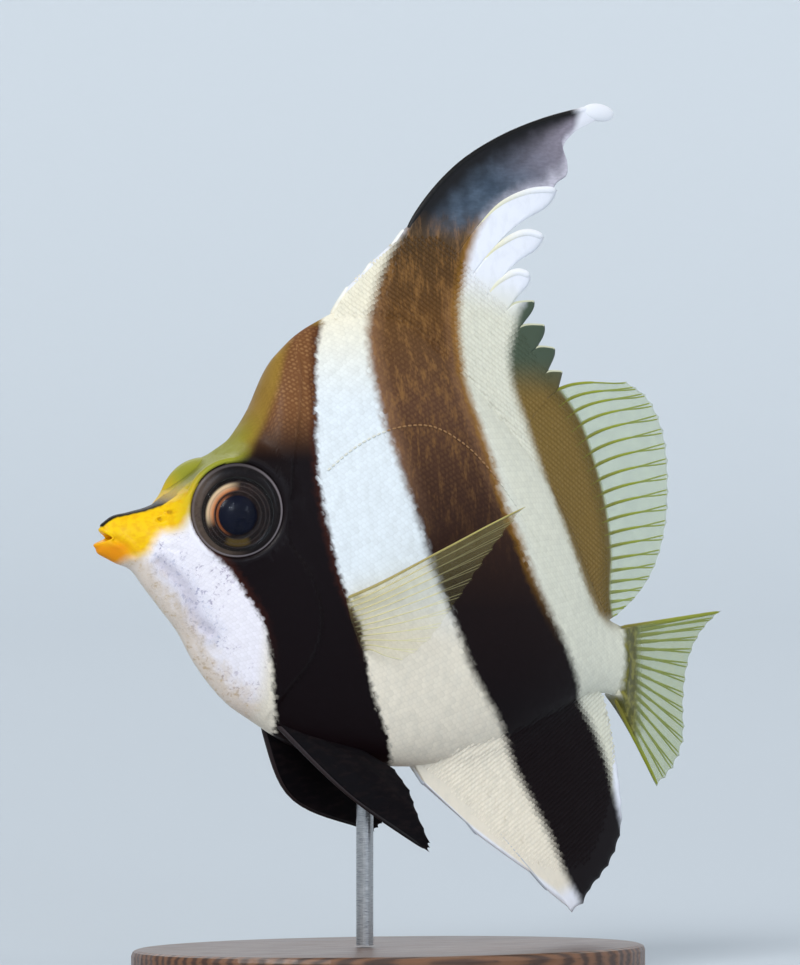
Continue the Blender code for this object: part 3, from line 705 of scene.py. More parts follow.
@dataclass
class Coat:
    """The scales over one flank, in staggered rows that follow its thickest level."""

    side: Side
    start_x: float = -38.6
    end_x: float = 40.2
    seed: int = 11
    pitch: tuple = (
        (-40, 0.56), (-34, 0.6), (-26, 0.66), (-14, 0.76), (0, 0.86), (14, 0.86), (26, 0.76),
        (34, 0.66), (41, 0.6))
    parts: tuple = (-60, -2, 60)
    column_share: float = 0.74
    long_share: float = 1.62
    wide_share: float = 1.22
    stray: float = 0.03
    size_spread: float = 0.05
    lift_spread: float = 0.0015
    border_spread: float = 0.12
    bare_eye: float = 8.1
    bare_nostril: float = 1.4
    bare_snout: tuple = (-0.6, -30.5)
    unwrap_x: tuple = (47, 90)
    unwrap_y: tuple = (50, 105)

    def roots(self, flank: Flank) -> tuple[Array, Array, Array]:
        """The root of each scale.

        Args:
            flank: The side that the scales lie on.

        Returns:
            Places along the fish, lengths round it, and the row spacing there.
        """
        pitch_at = curve(self.pitch)
        xs, lengths, pitches = [], [], []
        x, column = self.start_x, 0
        while x < self.end_x:
            pitch = float(pitch_at(x))
            low = np.interp(x, flank.xs, flank.low) + 0.25 * pitch
            high = np.interp(x, flank.xs, flank.high) - 0.25 * pitch
            numbers = np.arange(math.ceil(low / pitch), math.floor(high / pitch) + 1)
            rows = (numbers + 0.5 * (column % 2)) * pitch
            rows = rows[(rows > low) & (rows < high)]
            xs.append(np.full(len(rows), x))
            lengths.append(rows)
            pitches.append(np.full(len(rows), pitch))
            x += pitch * self.column_share
            column += 1
        return np.concatenate(xs), np.concatenate(lengths), np.concatenate(pitches)

    def build(self, finish: Material) -> None:
        """Lays the scales over the flank, as one piece in front and one behind.

        Args:
            finish: The scales' material.
        """
        flank = Flank(self.side)
        roots = self.roots(flank)
        for number, (start, end) in enumerate(zip(self.parts[:-1], self.parts[1:]), 1):
            inside = (roots[0] >= start) & (roots[0] < end)
            self.lay(flank, [part[inside] for part in roots], number, finish)

    def lay(self, flank: Flank, roots: list[Array], number: int,
            finish: Material) -> None:
        """Lays one piece of the coat.

        Args:
            flank: The side that the scales lie on.
            roots: Places along the fish, lengths round it and row spacings.
            number: The piece's number, from the front.
            finish: The scales' material.
        """
        rng = np.random.default_rng(self.seed + number)
        xs, lengths, pitches = roots
        spots = flank.at(xs, lengths, np.zeros(len(xs)))
        from_eye = np.hypot(spots[:, 0] - FORM.eye[0], spots[:, 2] - FORM.eye[2])
        yellow = MARKINGS.measure(spots)["yellow"]
        bare = (yellow > self.bare_snout[0]) & (xs < self.bare_snout[1])
        bare |= from_eye < self.bare_eye
        bare |= FORM.to_nostril(spots[:, 0], spots[:, 2]) < self.bare_nostril
        xs, lengths, pitches = xs[~bare], lengths[~bare], pitches[~bare]
        count = len(xs)
        xs = xs + rng.normal(0, self.stray, count) * pitches
        lengths = lengths + rng.normal(0, self.stray, count) * pitches
        size = rng.normal(1, self.size_spread, count)
        shade = rng.random(count)
        blank = Blank.disc(ScaleShape.sides)
        along, across, lift = ScaleShape().corners(blank)
        sizes = (pitches * size)[:, None]
        x = xs[:, None] + along[None] * self.long_share * sizes
        length = lengths[:, None] + across[None] * self.wide_share * sizes
        small = np.minimum(1, pitches / 0.8)[:, None]
        stray = rng.normal(0, self.lift_spread, count)[:, None]
        low = np.interp(x, flank.xs, flank.low) + 0.03
        high = np.interp(x, flank.xs, flank.high) - 0.03
        points = flank.at(np.minimum(x, FORM.tail_x), np.clip(length, low, high),
                          lift[None] * small + stray)
        corners = len(along)
        piece = Piece(f"scales_{self.side.name.lower()}_{number}", thin=True)
        patch_x = (xs[:, None] + self.unwrap_x[0]) / self.unwrap_x[1] + PATCH * (along[None] - 0.1)
        patch_y = (lengths[:, None] + self.unwrap_y[0]) / self.unwrap_y[1] + PATCH * across[None]
        flat = points.reshape(-1, 3)
        marks = MARKINGS.measure(flat)
        jitter = np.repeat(rng.normal(0, self.border_spread, count), corners)
        for name in ("first_band", "second_band", "second_rear", "third_band"):
            marks[name] = marks[name] + jitter
        marks["shade"] = np.repeat(shade, corners)
        marks["middle"] = np.tile((blank.turn < 0).astype(float), count)
        marks["fold"] = distance_to(FORM.cheek_fold, flat[:, 0], flat[:, 2])
        turned = [face if self.side is Side.RIGHT else face[::-1] for face in blank.faces]
        starts = range(0, count * corners, corners)
        piece.points.append(flat)
        piece.faces = [tuple(start + corner for corner in face)
                       for start in starts for face in turned]
        piece.marks = {name: [values] for name, values in marks.items()}
        piece.patches.append(np.column_stack([patch_x.ravel(), patch_y.ravel()]))
        piece.made(finish, "flesh")


@dataclass(frozen=True)
class Column:
    """A line of a fin from root to tip, the share of it that is used, and the fin's thickness."""

    line: Line
    end: float
    root: float
    tip: float
    across: float


def flat_or_round(spots: Array) -> Array:
    """Points (x, z) of the fish's middle plane as (x, y, z); points that have y stay."""
    if spots.shape[-1] == 3:
        return spots
    return np.stack([spots[..., 0], np.zeros(spots.shape[:-1]), spots[..., 1]], axis=-1)


@dataclass
class Membrane:
    """The skin between a fin's rays: one closed sheet, thick at its root and thin at its edge."""

    name: str
    columns: list[Column]
    rows: int = 40
    flare: float = 0.0
    flare_reach: float = 4.0
    flare_from: float = -60.0
    flare_inside: float = 0.65
    dive_from: float = 0.8
    dive_length: float = 1.8
    under: float = 0.5
    taper: float = 1.6
    rim_share: float = 0.04
    rim_left: float = 0.12

    def build(self, finish: Material, slot: str, node: str | None) -> Thing:
        """Builds the sheet.

        Args:
            finish: Its material.
            slot: The record's material slot.
            node: The node that it stands for, if any.

        Returns:
            The sheet's object.
        """
        steps = np.linspace(0, 1, self.rows + 1)
        ends, acrosses = np.array([(column.end, column.across) for column in self.columns]).T
        grid = np.array([flat_or_round(column.line(steps * column.end))
                         for column in self.columns])
        thick = np.array([column.tip + (column.root - column.tip) * (1 - steps) ** self.taper
                          for column in self.columns])
        if self.flare:
            x, z = grid[..., 0], grid[..., 2]
            beyond = np.max([z - curve(FORM.back)(x), curve(FORM.belly)(x) - z, x - FORM.tail_x],
                            axis=0)
            width = curve(FORM.half_width)(x) / FORM.full_half_width
            ahead = 0.45 + 0.55 * rise(x, self.flare_from, self.flare_from + 9.0)
            inside = np.clip(-beyond / self.flare_reach - self.flare_inside, 0, 1.6)
            swell = np.exp(-np.clip(beyond / self.flare_reach, -self.flare_inside, 9))
            swell = swell * (1 + 0.6 * inside * min(self.flare_inside, 1.0) / 0.65)
            thick = np.maximum(thick, 0) + self.flare * width * ahead * swell
            deep = rise(-beyond, self.dive_from, self.dive_from + self.dive_length)
            thick = thick + deep * np.minimum(2 * FORM.half_at(x, z) - self.under - thick, 0)
        edge = np.clip((1 - steps) / self.rim_share, self.rim_left, 1)
        thick = (thick * edge)[..., None]
        normal = unit(np.cross(np.gradient(grid, axis=0), np.gradient(grid, axis=1)))
        sense = np.sign(normal[len(self.columns) // 2, self.rows // 2, 1])
        normal *= sense
        blank = Blank.sheet(len(self.columns) - 1, self.rows)
        near = (grid + 0.5 * thick * normal)[blank.along, blank.turn]
        far = (grid - 0.5 * thick * normal)[blank.along, blank.turn]
        half = len(near)
        order = {(int(c), int(r)): k for k, (c, r) in enumerate(zip(blank.along, blank.turn))}
        width = len(self.columns) - 1
        rim = [(c, 0) for c in range(width)] + [(width, r) for r in range(self.rows)]
        rim += [(c, self.rows) for c in range(width, 0, -1)]
        rim += [(0, r) for r in range(self.rows, 0, -1)]
        loop = [order[spot] for spot in rim]
        faces = list(blank.faces) + [tuple(k + half for k in face[::-1]) for face in blank.faces]
        faces += [(b, a, a + half, b + half) for a, b in zip(loop, loop[1:] + loop[:1])]
        if sense > 0:
            faces = [face[::-1] for face in faces]
        out = (steps[None] * ends[:, None])[blank.along, blank.turn]
        across = acrosses[blank.along]
        straight = np.vstack([near, far])
        marks = MARKINGS.measure(straight)
        marks.update(out=np.tile(out, 2), across=np.tile(across, 2))
        piece = Piece(self.name)
        piece.add(straight, faces, marks)
        made = piece.made(finish, slot)
        if node:
            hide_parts(node)
        return made


@dataclass
class Rays:
    """Rays or spines as tapered rods, each a closed shape from its root to its tip."""

    name: str
    lines: list[Line]
    root_radius: float
    tip_radius: float
    sides: int = 8
    rows: int = 26
    start: float = 0.02
    end: float = 0.985
    flat: float = 0.8
    split: float = 1.0
    fork_overlap: float = 0.03
    fork_lean: float = 0.14
    branch_share: tuple = (0.72, 0.8)

    def rod(self, piece: Piece, blank: Blank, line: Line, span: tuple[float, float],
            radii: tuple[float, float], across: float) -> None:
        """Adds one rod.

        Args:
            piece: The piece that it joins.
            blank: The ball that it is made from.
            line: The line it follows.
            span: The part of the line it covers.
            radii: Its radius at its root and tip.
            across: The ray's share of the way across the fin.
        """
        share = (1 - np.cos(np.linspace(0, math.pi, self.rows + 1))) / 2
        t = span[0] + (span[1] - span[0]) * share
        centre = flat_or_round(line(t))
        ahead = unit(np.gradient(centre, axis=0))
        up = unit(np.cross(ahead, np.array([0.0, 1.0, 0.0])))
        out = np.cross(up, ahead)
        radius = radii[0] + (radii[1] - radii[0]) * share
        radius = radius * np.clip(np.sqrt(np.clip(1 - (2 * share - 1) ** 16, 0, 1)), 0, 1)
        angle = blank.turn * 2 * math.pi / self.sides
        k = blank.along
        points = (centre[k] + (radius[k] * np.cos(angle))[:, None] * up[k]
                  + (radius[k] * self.flat * np.sin(angle))[:, None] * out[k])
        marks = MARKINGS.measure(points)
        marks.update(out=t[k], across=np.full(len(k), across))
        piece.add(points, blank.faces, marks)

    def build(self, finish: Material, slot: str) -> Thing:
        """Builds all the rods as one piece.

        Args:
            finish: Their material.
            slot: The record's material slot.

        Returns:
            The object that holds them.
        """
        piece = Piece(self.name)
        blank = Blank.ball(self.rows, self.sides)
        last = len(self.lines) - 1
        for number, line in enumerate(self.lines):
            across = number / max(last, 1)
            if self.split >= 1:
                self.rod(piece, blank, line, (self.start, self.end),
                         (self.root_radius, self.tip_radius), across)
                continue
            fork = self.root_radius + (self.tip_radius - self.root_radius) * self.split
            self.rod(piece, blank, line, (self.start, self.split + 0.04),
                     (self.root_radius, fork * 0.9), across)
            for near in (max(number - 1, 0), min(number + 1, last)):
                if near != number:
                    branch = self.forked(line, self.lines[near])
                    radii = fork * self.branch_share[0], self.tip_radius * self.branch_share[1]
                    self.rod(piece, blank, branch, (self.split - self.fork_overlap, self.end),
                             radii, across)
        return piece.made(finish, slot)

    def forked(self, line: Line, near: Line) -> Line:
        """A branch that leaves a ray at its fork and leans towards the next ray."""
        def at(t: Array) -> Array:
            """The point at t."""
            lean = self.fork_lean * rise(np.asarray(t), self.split - self.fork_overlap, 1.0)
            lean = lean[..., None]
            return line(t) * (1 - lean) + near(t) * lean

        return at


def fan(lines: list[Line], notch: float, root: float, tip: float, steps: int = 6) -> list[Column]:
    """Columns for a membrane with shallow scallops between its rays.

    Args:
        lines: The rays.
        notch: How far the edge reaches between two rays.
        root: Thickness at the root.
        tip: Thickness at the edge.
        steps: Columns from one ray to the next.

    Returns:
        The columns.
    """
    columns = []
    gaps = len(lines) - 1
    for number, (here, after) in enumerate(zip(lines[:-1], lines[1:])):
        for share in np.arange(steps) / steps:
            end = 1 - (1 - notch) * math.sin(math.pi * share)
            columns.append(Column(between(here, after, share), end, root, tip,
                                  (number + share) / gaps))
    columns.append(Column(lines[-1], 1.0, root, tip, 1.0))
    return columns


def spread(roots: Line, tips: Line, count: int, bow: tuple[float, float] = (0, 0)) -> list[Line]:
    """Rays spread evenly from a root line to a tip line, bowed most at the front."""
    lines = []
    for share in np.linspace(0, 1, count):
        start, end = roots(share), tips(share)
        middle = (start + end) / 2 + np.array(bow) * (1 - share) ** 2
        lines.append(path([start, middle, end]))
    return lines


def stiff(spines: list[Line], notches: Sequence[float], root: float, tip: float,
          falls: Sequence[float] = (1.5,) * 8, steps: int = 14) -> list[list[Column]]:
    """Columns for the skin behind each spine, which falls away to a notch on the next.

    Args:
        spines: The spines, and last the line where the skin ends.
        notches: The height of each notch, as a share of the next spine.
        root: Thickness at the root.
        tip: Thickness at the edge.
        falls: How blunt each tip is: a higher number keeps the skin full for longer.
        steps: Columns in each piece of skin.

    Returns:
        One list of columns for each spine.
    """
    pieces = []
    pairs = zip(spines[:-1], spines[1:], notches, falls)
    for number, (here, after, notch, fall) in enumerate(pairs):
        columns = []
        for share in np.linspace(0, 1, steps + 1):
            end = 1 - (1 - notch) * share ** fall
            columns.append(Column(between(here, after, share), end, root, tip,
                                  number + share))
        pieces.append(columns)
    return pieces


class Value:
    """A shader socket with arithmetic. A sum of values adds its Math nodes."""

    def __init__(self, shader: "Shader", socket: bpy.types.NodeSocket) -> None:
        """Keeps the socket and the shader it belongs to."""
        self.shader = shader
        self.socket = socket

    def _with(self, operation: str, first: "Value | float", second: "Value | float") -> "Value":
        """The result of one Math node."""
        node = self.shader.node("ShaderNodeMath", {"operation": operation}, {0: first, 1: second})
        return Value(self.shader, node.outputs[0])

    def __add__(self, other: "Value | float") -> "Value":
        """This plus another."""
        return self._with("ADD", self, other)

    def __radd__(self, other: float) -> "Value":
        """Another plus this."""
        return self._with("ADD", other, self)

    def __sub__(self, other: "Value | float") -> "Value":
        """This minus another."""
        return self._with("SUBTRACT", self, other)

    def __rsub__(self, other: float) -> "Value":
        """Another minus this."""
        return self._with("SUBTRACT", other, self)

    def __mul__(self, other: "Value | float") -> "Value":
        """This times another."""
        return self._with("MULTIPLY", self, other)

    def __rmul__(self, other: float) -> "Value":
        """Another times this."""
        return self._with("MULTIPLY", other, self)


Triple = tuple[float, float, float]
Colour = Triple


def tone(red: int, green: int, blue: int) -> Colour:
    """A colour as it looks on a screen, from 0 to 255, as light."""
    parts = []
    for part in (red / 255, green / 255, blue / 255):
        parts.append(part / 12.92 if part <= 0.04045 else ((part + 0.055) / 1.055) ** 2.4)
    return tuple(parts)


class Shader:
    """A material that is being put together from nodes."""

    def __init__(self, name: str) -> None:
        """Starts a material of that name with its Principled shader."""
        self.material = bpy.data.materials.new(name)
        self.material.use_nodes = True
        self.tree = self.material.node_tree
        self.principled = self.tree.nodes["Principled BSDF"]
        self.output = self.tree.nodes["Material Output"]

    def node(self, kind: str, settings: dict, inputs: dict) -> bpy.types.Node:
        """Adds a node.

        Args:
            kind: Its type.
            settings: Its properties, set first; stops are a ramp's places and colours.
            inputs: Its sockets' values, numbers, colours or links.

        Returns:
            The node.
        """
        made = self.tree.nodes.new(kind)
        for name, value in settings.items():
            if name == "stops":
                ramp = made.color_ramp
                while len(ramp.elements) < len(value):
                    ramp.elements.new(1.0)
                for element, (place, colour) in zip(ramp.elements, value):
                    element.position = place
                    element.color = (*colour, 1.0)
            else:
                setattr(made, name, value)
        for name, value in inputs.items():
            self.feed(made.inputs[name], value)
        return made

    def feed(self, socket: bpy.types.NodeSocket, value: "Value | float | Colour") -> None:
        """Links a value to a socket, or sets it."""
        if isinstance(value, Value):
            self.tree.links.new(value.socket, socket)
        elif isinstance(value, tuple) and len(value) == 3 and socket.type == "RGBA":
            socket.default_value = (*value, 1.0)
        else:
            socket.default_value = value

    def attribute(self, name: str) -> Value:
        """A number that the mesh carries."""
        node = self.node("ShaderNodeAttribute", {"attribute_name": name}, {})
        return Value(self, node.outputs["Fac"])

    def place(self, stretch: Triple = (1.0, 1.0, 1.0), turned: Triple = (0.0, 0.0, 0.0)) -> Value:
        """The place on the piece in millimetres, turned and stretched."""
        source = self.node("ShaderNodeTexCoord", {}, {})
        size = tuple(part / MM for part in stretch)
        node = self.node("ShaderNodeMapping", {"vector_type": "POINT"},
                         {"Vector": Value(self, source.outputs["Object"]),
                          "Rotation": turned, "Scale": size})
        return Value(self, node.outputs[0])

    def axis(self, name: str) -> Value:
        """One coordinate of the place, in millimetres."""
        node = self.node("ShaderNodeSeparateXYZ", {}, {0: self.place()})
        return Value(self, node.outputs[name])

    def noise(self, scale: float, detail: float = 3.0, rough: float = 0.55, wander: float = 0.0,
              stretch: Triple = (1, 1, 1), turned: Triple = (0, 0, 0)) -> Value:
        """Soft noise about 0.5, on the place turned and stretched."""
        node = self.node("ShaderNodeTexNoise", {"noise_dimensions": "3D"}, {
            "Vector": self.place(stretch, turned), "Scale": scale, "Detail": detail,
            "Roughness": rough, "Distortion": wander})
        return Value(self, node.outputs["Fac"])

    def ease(self, value: Value, low: float, high: float, start: float = 0.0,
             end: float = 1.0) -> Value:
        """A soft step from start at low to end at high."""
        node = self.node("ShaderNodeMapRange", {"interpolation_type": "SMOOTHSTEP", "clamp": True},
                         {"Value": value, "From Min": low, "From Max": high, "To Min": start,
                          "To Max": end})
        return Value(self, node.outputs[0])

    def mix(self, mask: "Value | float", under: "Value | Colour", over: "Value | Colour") -> Value:
        """One colour laid over another where the mask is 1."""
        node = self.node("ShaderNodeMix", {"data_type": "RGBA"}, {0: mask, 6: under, 7: over})
        return Value(self, node.outputs[2])

    def shaded(self, mask: "Value | float", under: Value, over: Colour) -> Value:
        """A colour multiplied by another where the mask is 1."""
        node = self.node("ShaderNodeMix", {"data_type": "RGBA", "blend_type": "MULTIPLY"},
                         {0: mask, 6: under, 7: over})
        return Value(self, node.outputs[2])

    def ramp(self, value: Value, stops: Sequence[tuple[float, Colour]]) -> Value:
        """A colour that runs through stops."""
        node = self.node("ShaderNodeValToRGB", {"stops": stops}, {"Fac": value})
        return Value(self, node.outputs["Color"])

    def bump(self, height: Value, strength: float, depth: float) -> Value:
        """A normal from a height; depth is in millimetres."""
        node = self.node("ShaderNodeBump", {}, {"Height": height, "Strength": strength,
                                                "Distance": depth * MM})
        return Value(self, node.outputs[0])

    def finish(self, **sockets: "Value | float | Colour") -> Material:
        """Feeds the Principled shader's sockets, named with _ for a space."""
        for name, value in sockets.items():
            self.feed(self.principled.inputs[name.replace("_", " ")], value)
        return self.material


@dataclass(frozen=True)
class FleshFinish:
    """Skin and scales: pearl white, three brown to black bands, and a yellow snout."""

    name: str
    scaled: bool = False
    cream: Colour = tone(246, 238, 214)
    pearl: Colour = tone(234, 240, 243)
    belly: Colour = tone(240, 230, 211)
    stem: Colour = tone(226, 224, 206)
    cheek: Colour = tone(248, 243, 249)
    tips: Colour = tone(240, 241, 248)
    lilac: Colour = tone(158, 142, 168)
    snout: Colour = tone(250, 202, 4)
    lip: Colour = tone(238, 146, 10)
    forehead: Colour = tone(150, 150, 44)
    black: Colour = tone(13, 3, 6)
    maroon: Colour = tone(64, 26, 14)
    brown: Colour = tone(118, 76, 44)
    tan: Colour = tone(160, 116, 74)
    gold: Colour = tone(150, 104, 26)
    olive: Colour = tone(122, 98, 50)
    dusk: Colour = tone(74, 86, 70)

    def white(self, make: Shader, z: Value) -> Value:
        """The white of stripes, cheek and belly, with painted shade along the cheek's folds."""
        ease, mix = make.ease, make.mix
        x = make.attribute("fish_x")
        grain = make.noise(0.9, 4, stretch=(1, 1, 0.55))
        colour = mix(ease(z, 82, 99), self.pearl, self.cream)
        colour = mix(ease(z, 61, 48), colour, self.belly)
        colour = mix(ease(x + 0.35 * (z - 60), 14, 22), colour, self.stem)
        colour = mix(ease(z + 0.25 * x, 100, 108) * ease(x, 0, 6), colour, self.tips)
        colour = mix(ease(make.attribute("out"), 0.84, 0.93), colour, self.tips)
        shade = ease(grain, 0.42, 0.66) * 0.1
        colour = mix(shade, colour, tone(176, 178, 170))
        head = ease(x, -20.5, -23.5)
        flecks = make.noise(1.5, 5, 0.7, 0.5, stretch=(1, 0.6, 1), turned=(0, 0.6, 0))
        flecks = ease(flecks, 0.52, 0.66)
        clouds = ease(make.noise(0.22, 3), 0.45, 0.62)
        face = mix(flecks * ease(clouds, 0, 0.7) * 0.8, self.cheek, self.lilac)
        # Painted shade: the crease of the cheek and jaw folds is darkened to mauve grey.
        fold = ease(make.attribute("fold"), 1.9, 0)
        face = mix(fold * (0.3 + 0.4 * flecks), face, tone(158, 130, 142))
        # Painted shade: a blue grey shadow spreads a little wider round the folds.
        painted_hollow_shade = ease(make.attribute("fold") + (grain - 0.5) * 3, 3.4, 0.4)
        face = mix(painted_hollow_shade * (0.2 + 0.4 * flecks), face, tone(170, 178, 206))
        chin = ease(make.attribute("keel") + (grain - 0.5) * 6, 5.5, 0.8)
        face = mix(chin * (0.55 + 0.3 * flecks), face, tone(212, 184, 138))
        return mix(head, colour, face)

    def paint(self, make: Shader) -> Value:
        """The colour of the flesh, with all its markings, and painted shade in the folds and
        nostril pits.
        """
        ease, mix = make.ease, make.mix
        z = make.axis("Z")
        x = make.attribute("fish_x")
        ragged = (make.noise(1.15, 2) - 0.5) * 0.7
        mottle = make.noise(1.3, 5, 0.65, stretch=(1, 1, 0.5), turned=(0, -0.5, 0))
        specks = ease(mottle, 0.5, 0.66)
        if self.scaled:
            specks = ease(make.attribute("middle"), 0.2, 0.9)
            specks = specks * ease(make.attribute("shade"), -0.3, 0.7) * ease(mottle, 0.3, 0.5)
        colour = self.white(make, z)
        first = make.attribute("first_band") + ragged
        deep = mix(ease(z, 75, 84), self.black, self.brown)
        deep = mix(specks * ease(z, 77, 86) * 0.85, deep, self.tan)
        deep = mix(ease(first, 1.5, 0) * ease(z, 44, 58) * 0.8, deep, self.maroon)
        nape = ease(make.attribute("yellow"), -1.5, -0.2) * ease(z, 75, 79)
        deep = mix(nape * 0.75, deep, tone(160, 128, 46))
        colour = mix(ease(first, -0.5, 0.45), colour, deep)
        second = make.attribute("second_band") + ragged
        band = make.ramp((z - 40) * (1 / 70), (
            (0, self.black), (0.2, tone(24, 12, 12)), (0.42, tone(58, 36, 26)),
            (0.62, tone(92, 62, 44)), (0.8, tone(98, 66, 34)), (1, tone(70, 52, 30))))
        streaks = make.noise(1.1, 4, 0.7, stretch=(1, 1, 0.25), turned=(0, -0.7, 0))
        lift = ease(streaks, 0.46, 0.68) * ease(z, 56, 92)
        band = mix(lift * 0.75, band, tone(146, 104, 58))
        band = mix(specks * ease(z, 60, 84) * 0.2, band, tone(150, 110, 66))
        front = ease(second, 3.4, 0.3) * ease(z, 62, 80) * (1 - ease(z, 94, 104))
        band = mix(front * 0.45, band, tone(158, 118, 88))
        rim = ease(make.attribute("second_rear") + ragged, 2, 0.1) * ease(z, 47, 66)
        band = mix(rim * 0.85, band, self.gold)
        colour = mix(ease(second, -1.05, 0.95), colour, band)
        third = make.attribute("third_band") + ragged * 1.2
        above = ease(z, 49.5, 53.5)
        late = mix(specks * 0.5, self.olive, tone(150, 124, 76))
        late = mix(ease(make.attribute("clear_rim"), -3.2, 0) * 0.6, late, tone(84, 74, 36))
        late = mix(ease(z, 84, 91), late, self.dusk)
        colour = mix(ease(third, -1, 1.3) * above, colour, late)
        yellow = make.attribute("yellow") + ragged * 0.8
        bright = mix(ease(x, -36.5, -31), self.snout, self.forehead)
        bright = mix(ease(z, 64.6, 62.8) * ease(x, -40, -43), bright, self.lip)
        warm = ease(make.noise(0.9, 4, stretch=(1, 1, 1.4)), 0.42, 0.68)
        bright = mix(warm * ease(x, -31, -36) * 0.45, bright, tone(232, 158, 6))
        bright = mix(ease(z, 76.5, 84), bright, tone(150, 116, 50))
        colour = mix(ease(yellow, -1.2, 0.9) * ease(x, -17, -19.5), colour, bright)
        crest = ease(make.attribute("crest") + ragged * 0.3, 0.66, 0.36)
        crest = crest * (ease(x, -28.5, -31) * 0.3 + ease(x, -33.5, -37) * 0.7)
        colour = mix(crest, colour, tone(16, 15, 8))
        wave = make.noise(0.8, 3)
        bar = mix(ease(wave, 0.4, 0.65), tone(84, 82, 34), tone(130, 124, 54))
        end = ease(x + (wave - 0.5) * 1.8 + ease(z, 44, 40) * 0.9, 38.7, 40.4)
        end = end * ease(z + (x - 40) * 1.2, 35, 36.2)
        colour = mix(end, colour, bar)
        # Painted shade: the nostril pits are darkened to deep yellow brown.
        pit = ease(make.attribute("nostril"), 0.45, 0.15)
        return mix(pit * 0.5, colour, tone(130, 80, 8))

    def build(self) -> Material:
        """The finished material."""
        make = Shader(self.name)
        colour = self.paint(make)
        fine = make.noise(3.2, 4, 0.6)
        if self.scaled:
            shade = make.attribute("shade")
            # Painted shade: each scale is darkened towards its rim, where it meets the scales over
            # it; shade adds each scale's own random tone.
            rim = make.ease(make.attribute("middle"), 0.5, 0)
            colour = make.shaded(shade * 0.14 + rim * 0.13, colour, tone(192, 188, 182))
            return make.finish(
                Base_Color=colour, Roughness=make.ease(shade, 0, 1, 0.38, 0.48),
                Normal=make.bump(fine, 0.1, 0.03), Coat_Weight=0.02, Coat_Roughness=0.2,
                Specular_IOR_Level=0.1)
        return make.finish(Base_Color=colour, Roughness=make.ease(fine, 0.3, 0.7, 0.34, 0.5),
                           Normal=make.bump(fine, 0.2, 0.05), Coat_Weight=0.06, Coat_Roughness=0.2,
                           Specular_IOR_Level=0.14)


@dataclass(frozen=True)
class ClearFinFinish:
    """A fin whose base is scaled flesh and whose outer part is clear."""

    name: str
    clear: Colour = tone(206, 216, 176)
    clear_alpha: float = 0.2
    cloud: Colour = tone(160, 178, 120)
    fade: float = 0.0
    border: str = "clear_rim"
    border_low: float = -0.4
    border_high: float = 0.7
    bar: bool = False

    def build(self) -> Material:
        """The finished material."""
        make = Shader(self.name)
        ease, mix = make.ease, make.mix
        flesh = FleshFinish("").paint(make)
        edge = make.attribute(self.border)
        if self.bar:
            wave = make.noise(0.8, 3)
            edge = make.attribute("fish_x") + (wave - 0.5) * 1.5 - 42.3
            edge = edge + ease(make.attribute("out"), 0.5, 0.9) * 3
        gone = ease(edge, self.border_low, self.border_high)
        tint = mix(ease(make.noise(0.7, 4), 0.35, 0.7), self.clear, self.cloud)
        clear = 1 - self.clear_alpha
        if self.fade:
            tint = mix(ease(make.attribute("second_band"), -2.6, -1.4) * 0.8, tint,
                            tone(104, 96, 50))
            fading = ease(make.attribute("across"), 0.04, 0.5, 1, 1 - self.fade)
            clear = 1 - fading * self.clear_alpha
        colour = mix(gone, flesh, tint)
        alpha = 1 - gone * clear
        fine = make.noise(2.4, 4, stretch=(0.4, 1, 1.4))
        return make.finish(Base_Color=colour, Alpha=alpha, Roughness=0.34,
                           Normal=make.bump(fine, 0.3, 0.06), Coat_Weight=0.06,
                           Specular_IOR_Level=0.25)


@dataclass(frozen=True)
class RayFinish:
    """Fin rays: one colour at the root and another at the tip, with joints across them."""

    name: str
    root: Colour
    tip: Colour
    turn_low: float = 0.3
    turn_high: float = 0.9
    banded: bool = False

    def build(self) -> Material:
        """The finished material."""
        make = Shader(self.name)
        ease, mix = make.ease, make.mix
        out = make.attribute("out")
        grain = make.noise(1.6, 3)
        stray = (grain - 0.5) * 0.3 * (self.turn_high - self.turn_low)
        colour = mix(ease(out + stray, self.turn_low, self.turn_high), self.root, self.tip)
        if self.banded:
            for band, start, shade in (("second_band", -2.6, tone(96, 88, 46)),
                                       ("first_band", -0.5, tone(34, 27, 18))):
                dark = ease(make.attribute(band), start, start + 1.2)
                colour = mix(dark * 0.8, colour, shade)
        joints = make.node("ShaderNodeMath", {"operation": "SINE"}, {0: out * 260})
        height = Value(make, joints.outputs[0]) * 0.4 + grain
        return make.finish(Base_Color=colour, Roughness=ease(grain, 0.3, 0.7, 0.32, 0.5),
                           Normal=make.bump(height, 0.3, 0.04), Specular_IOR_Level=0.25)


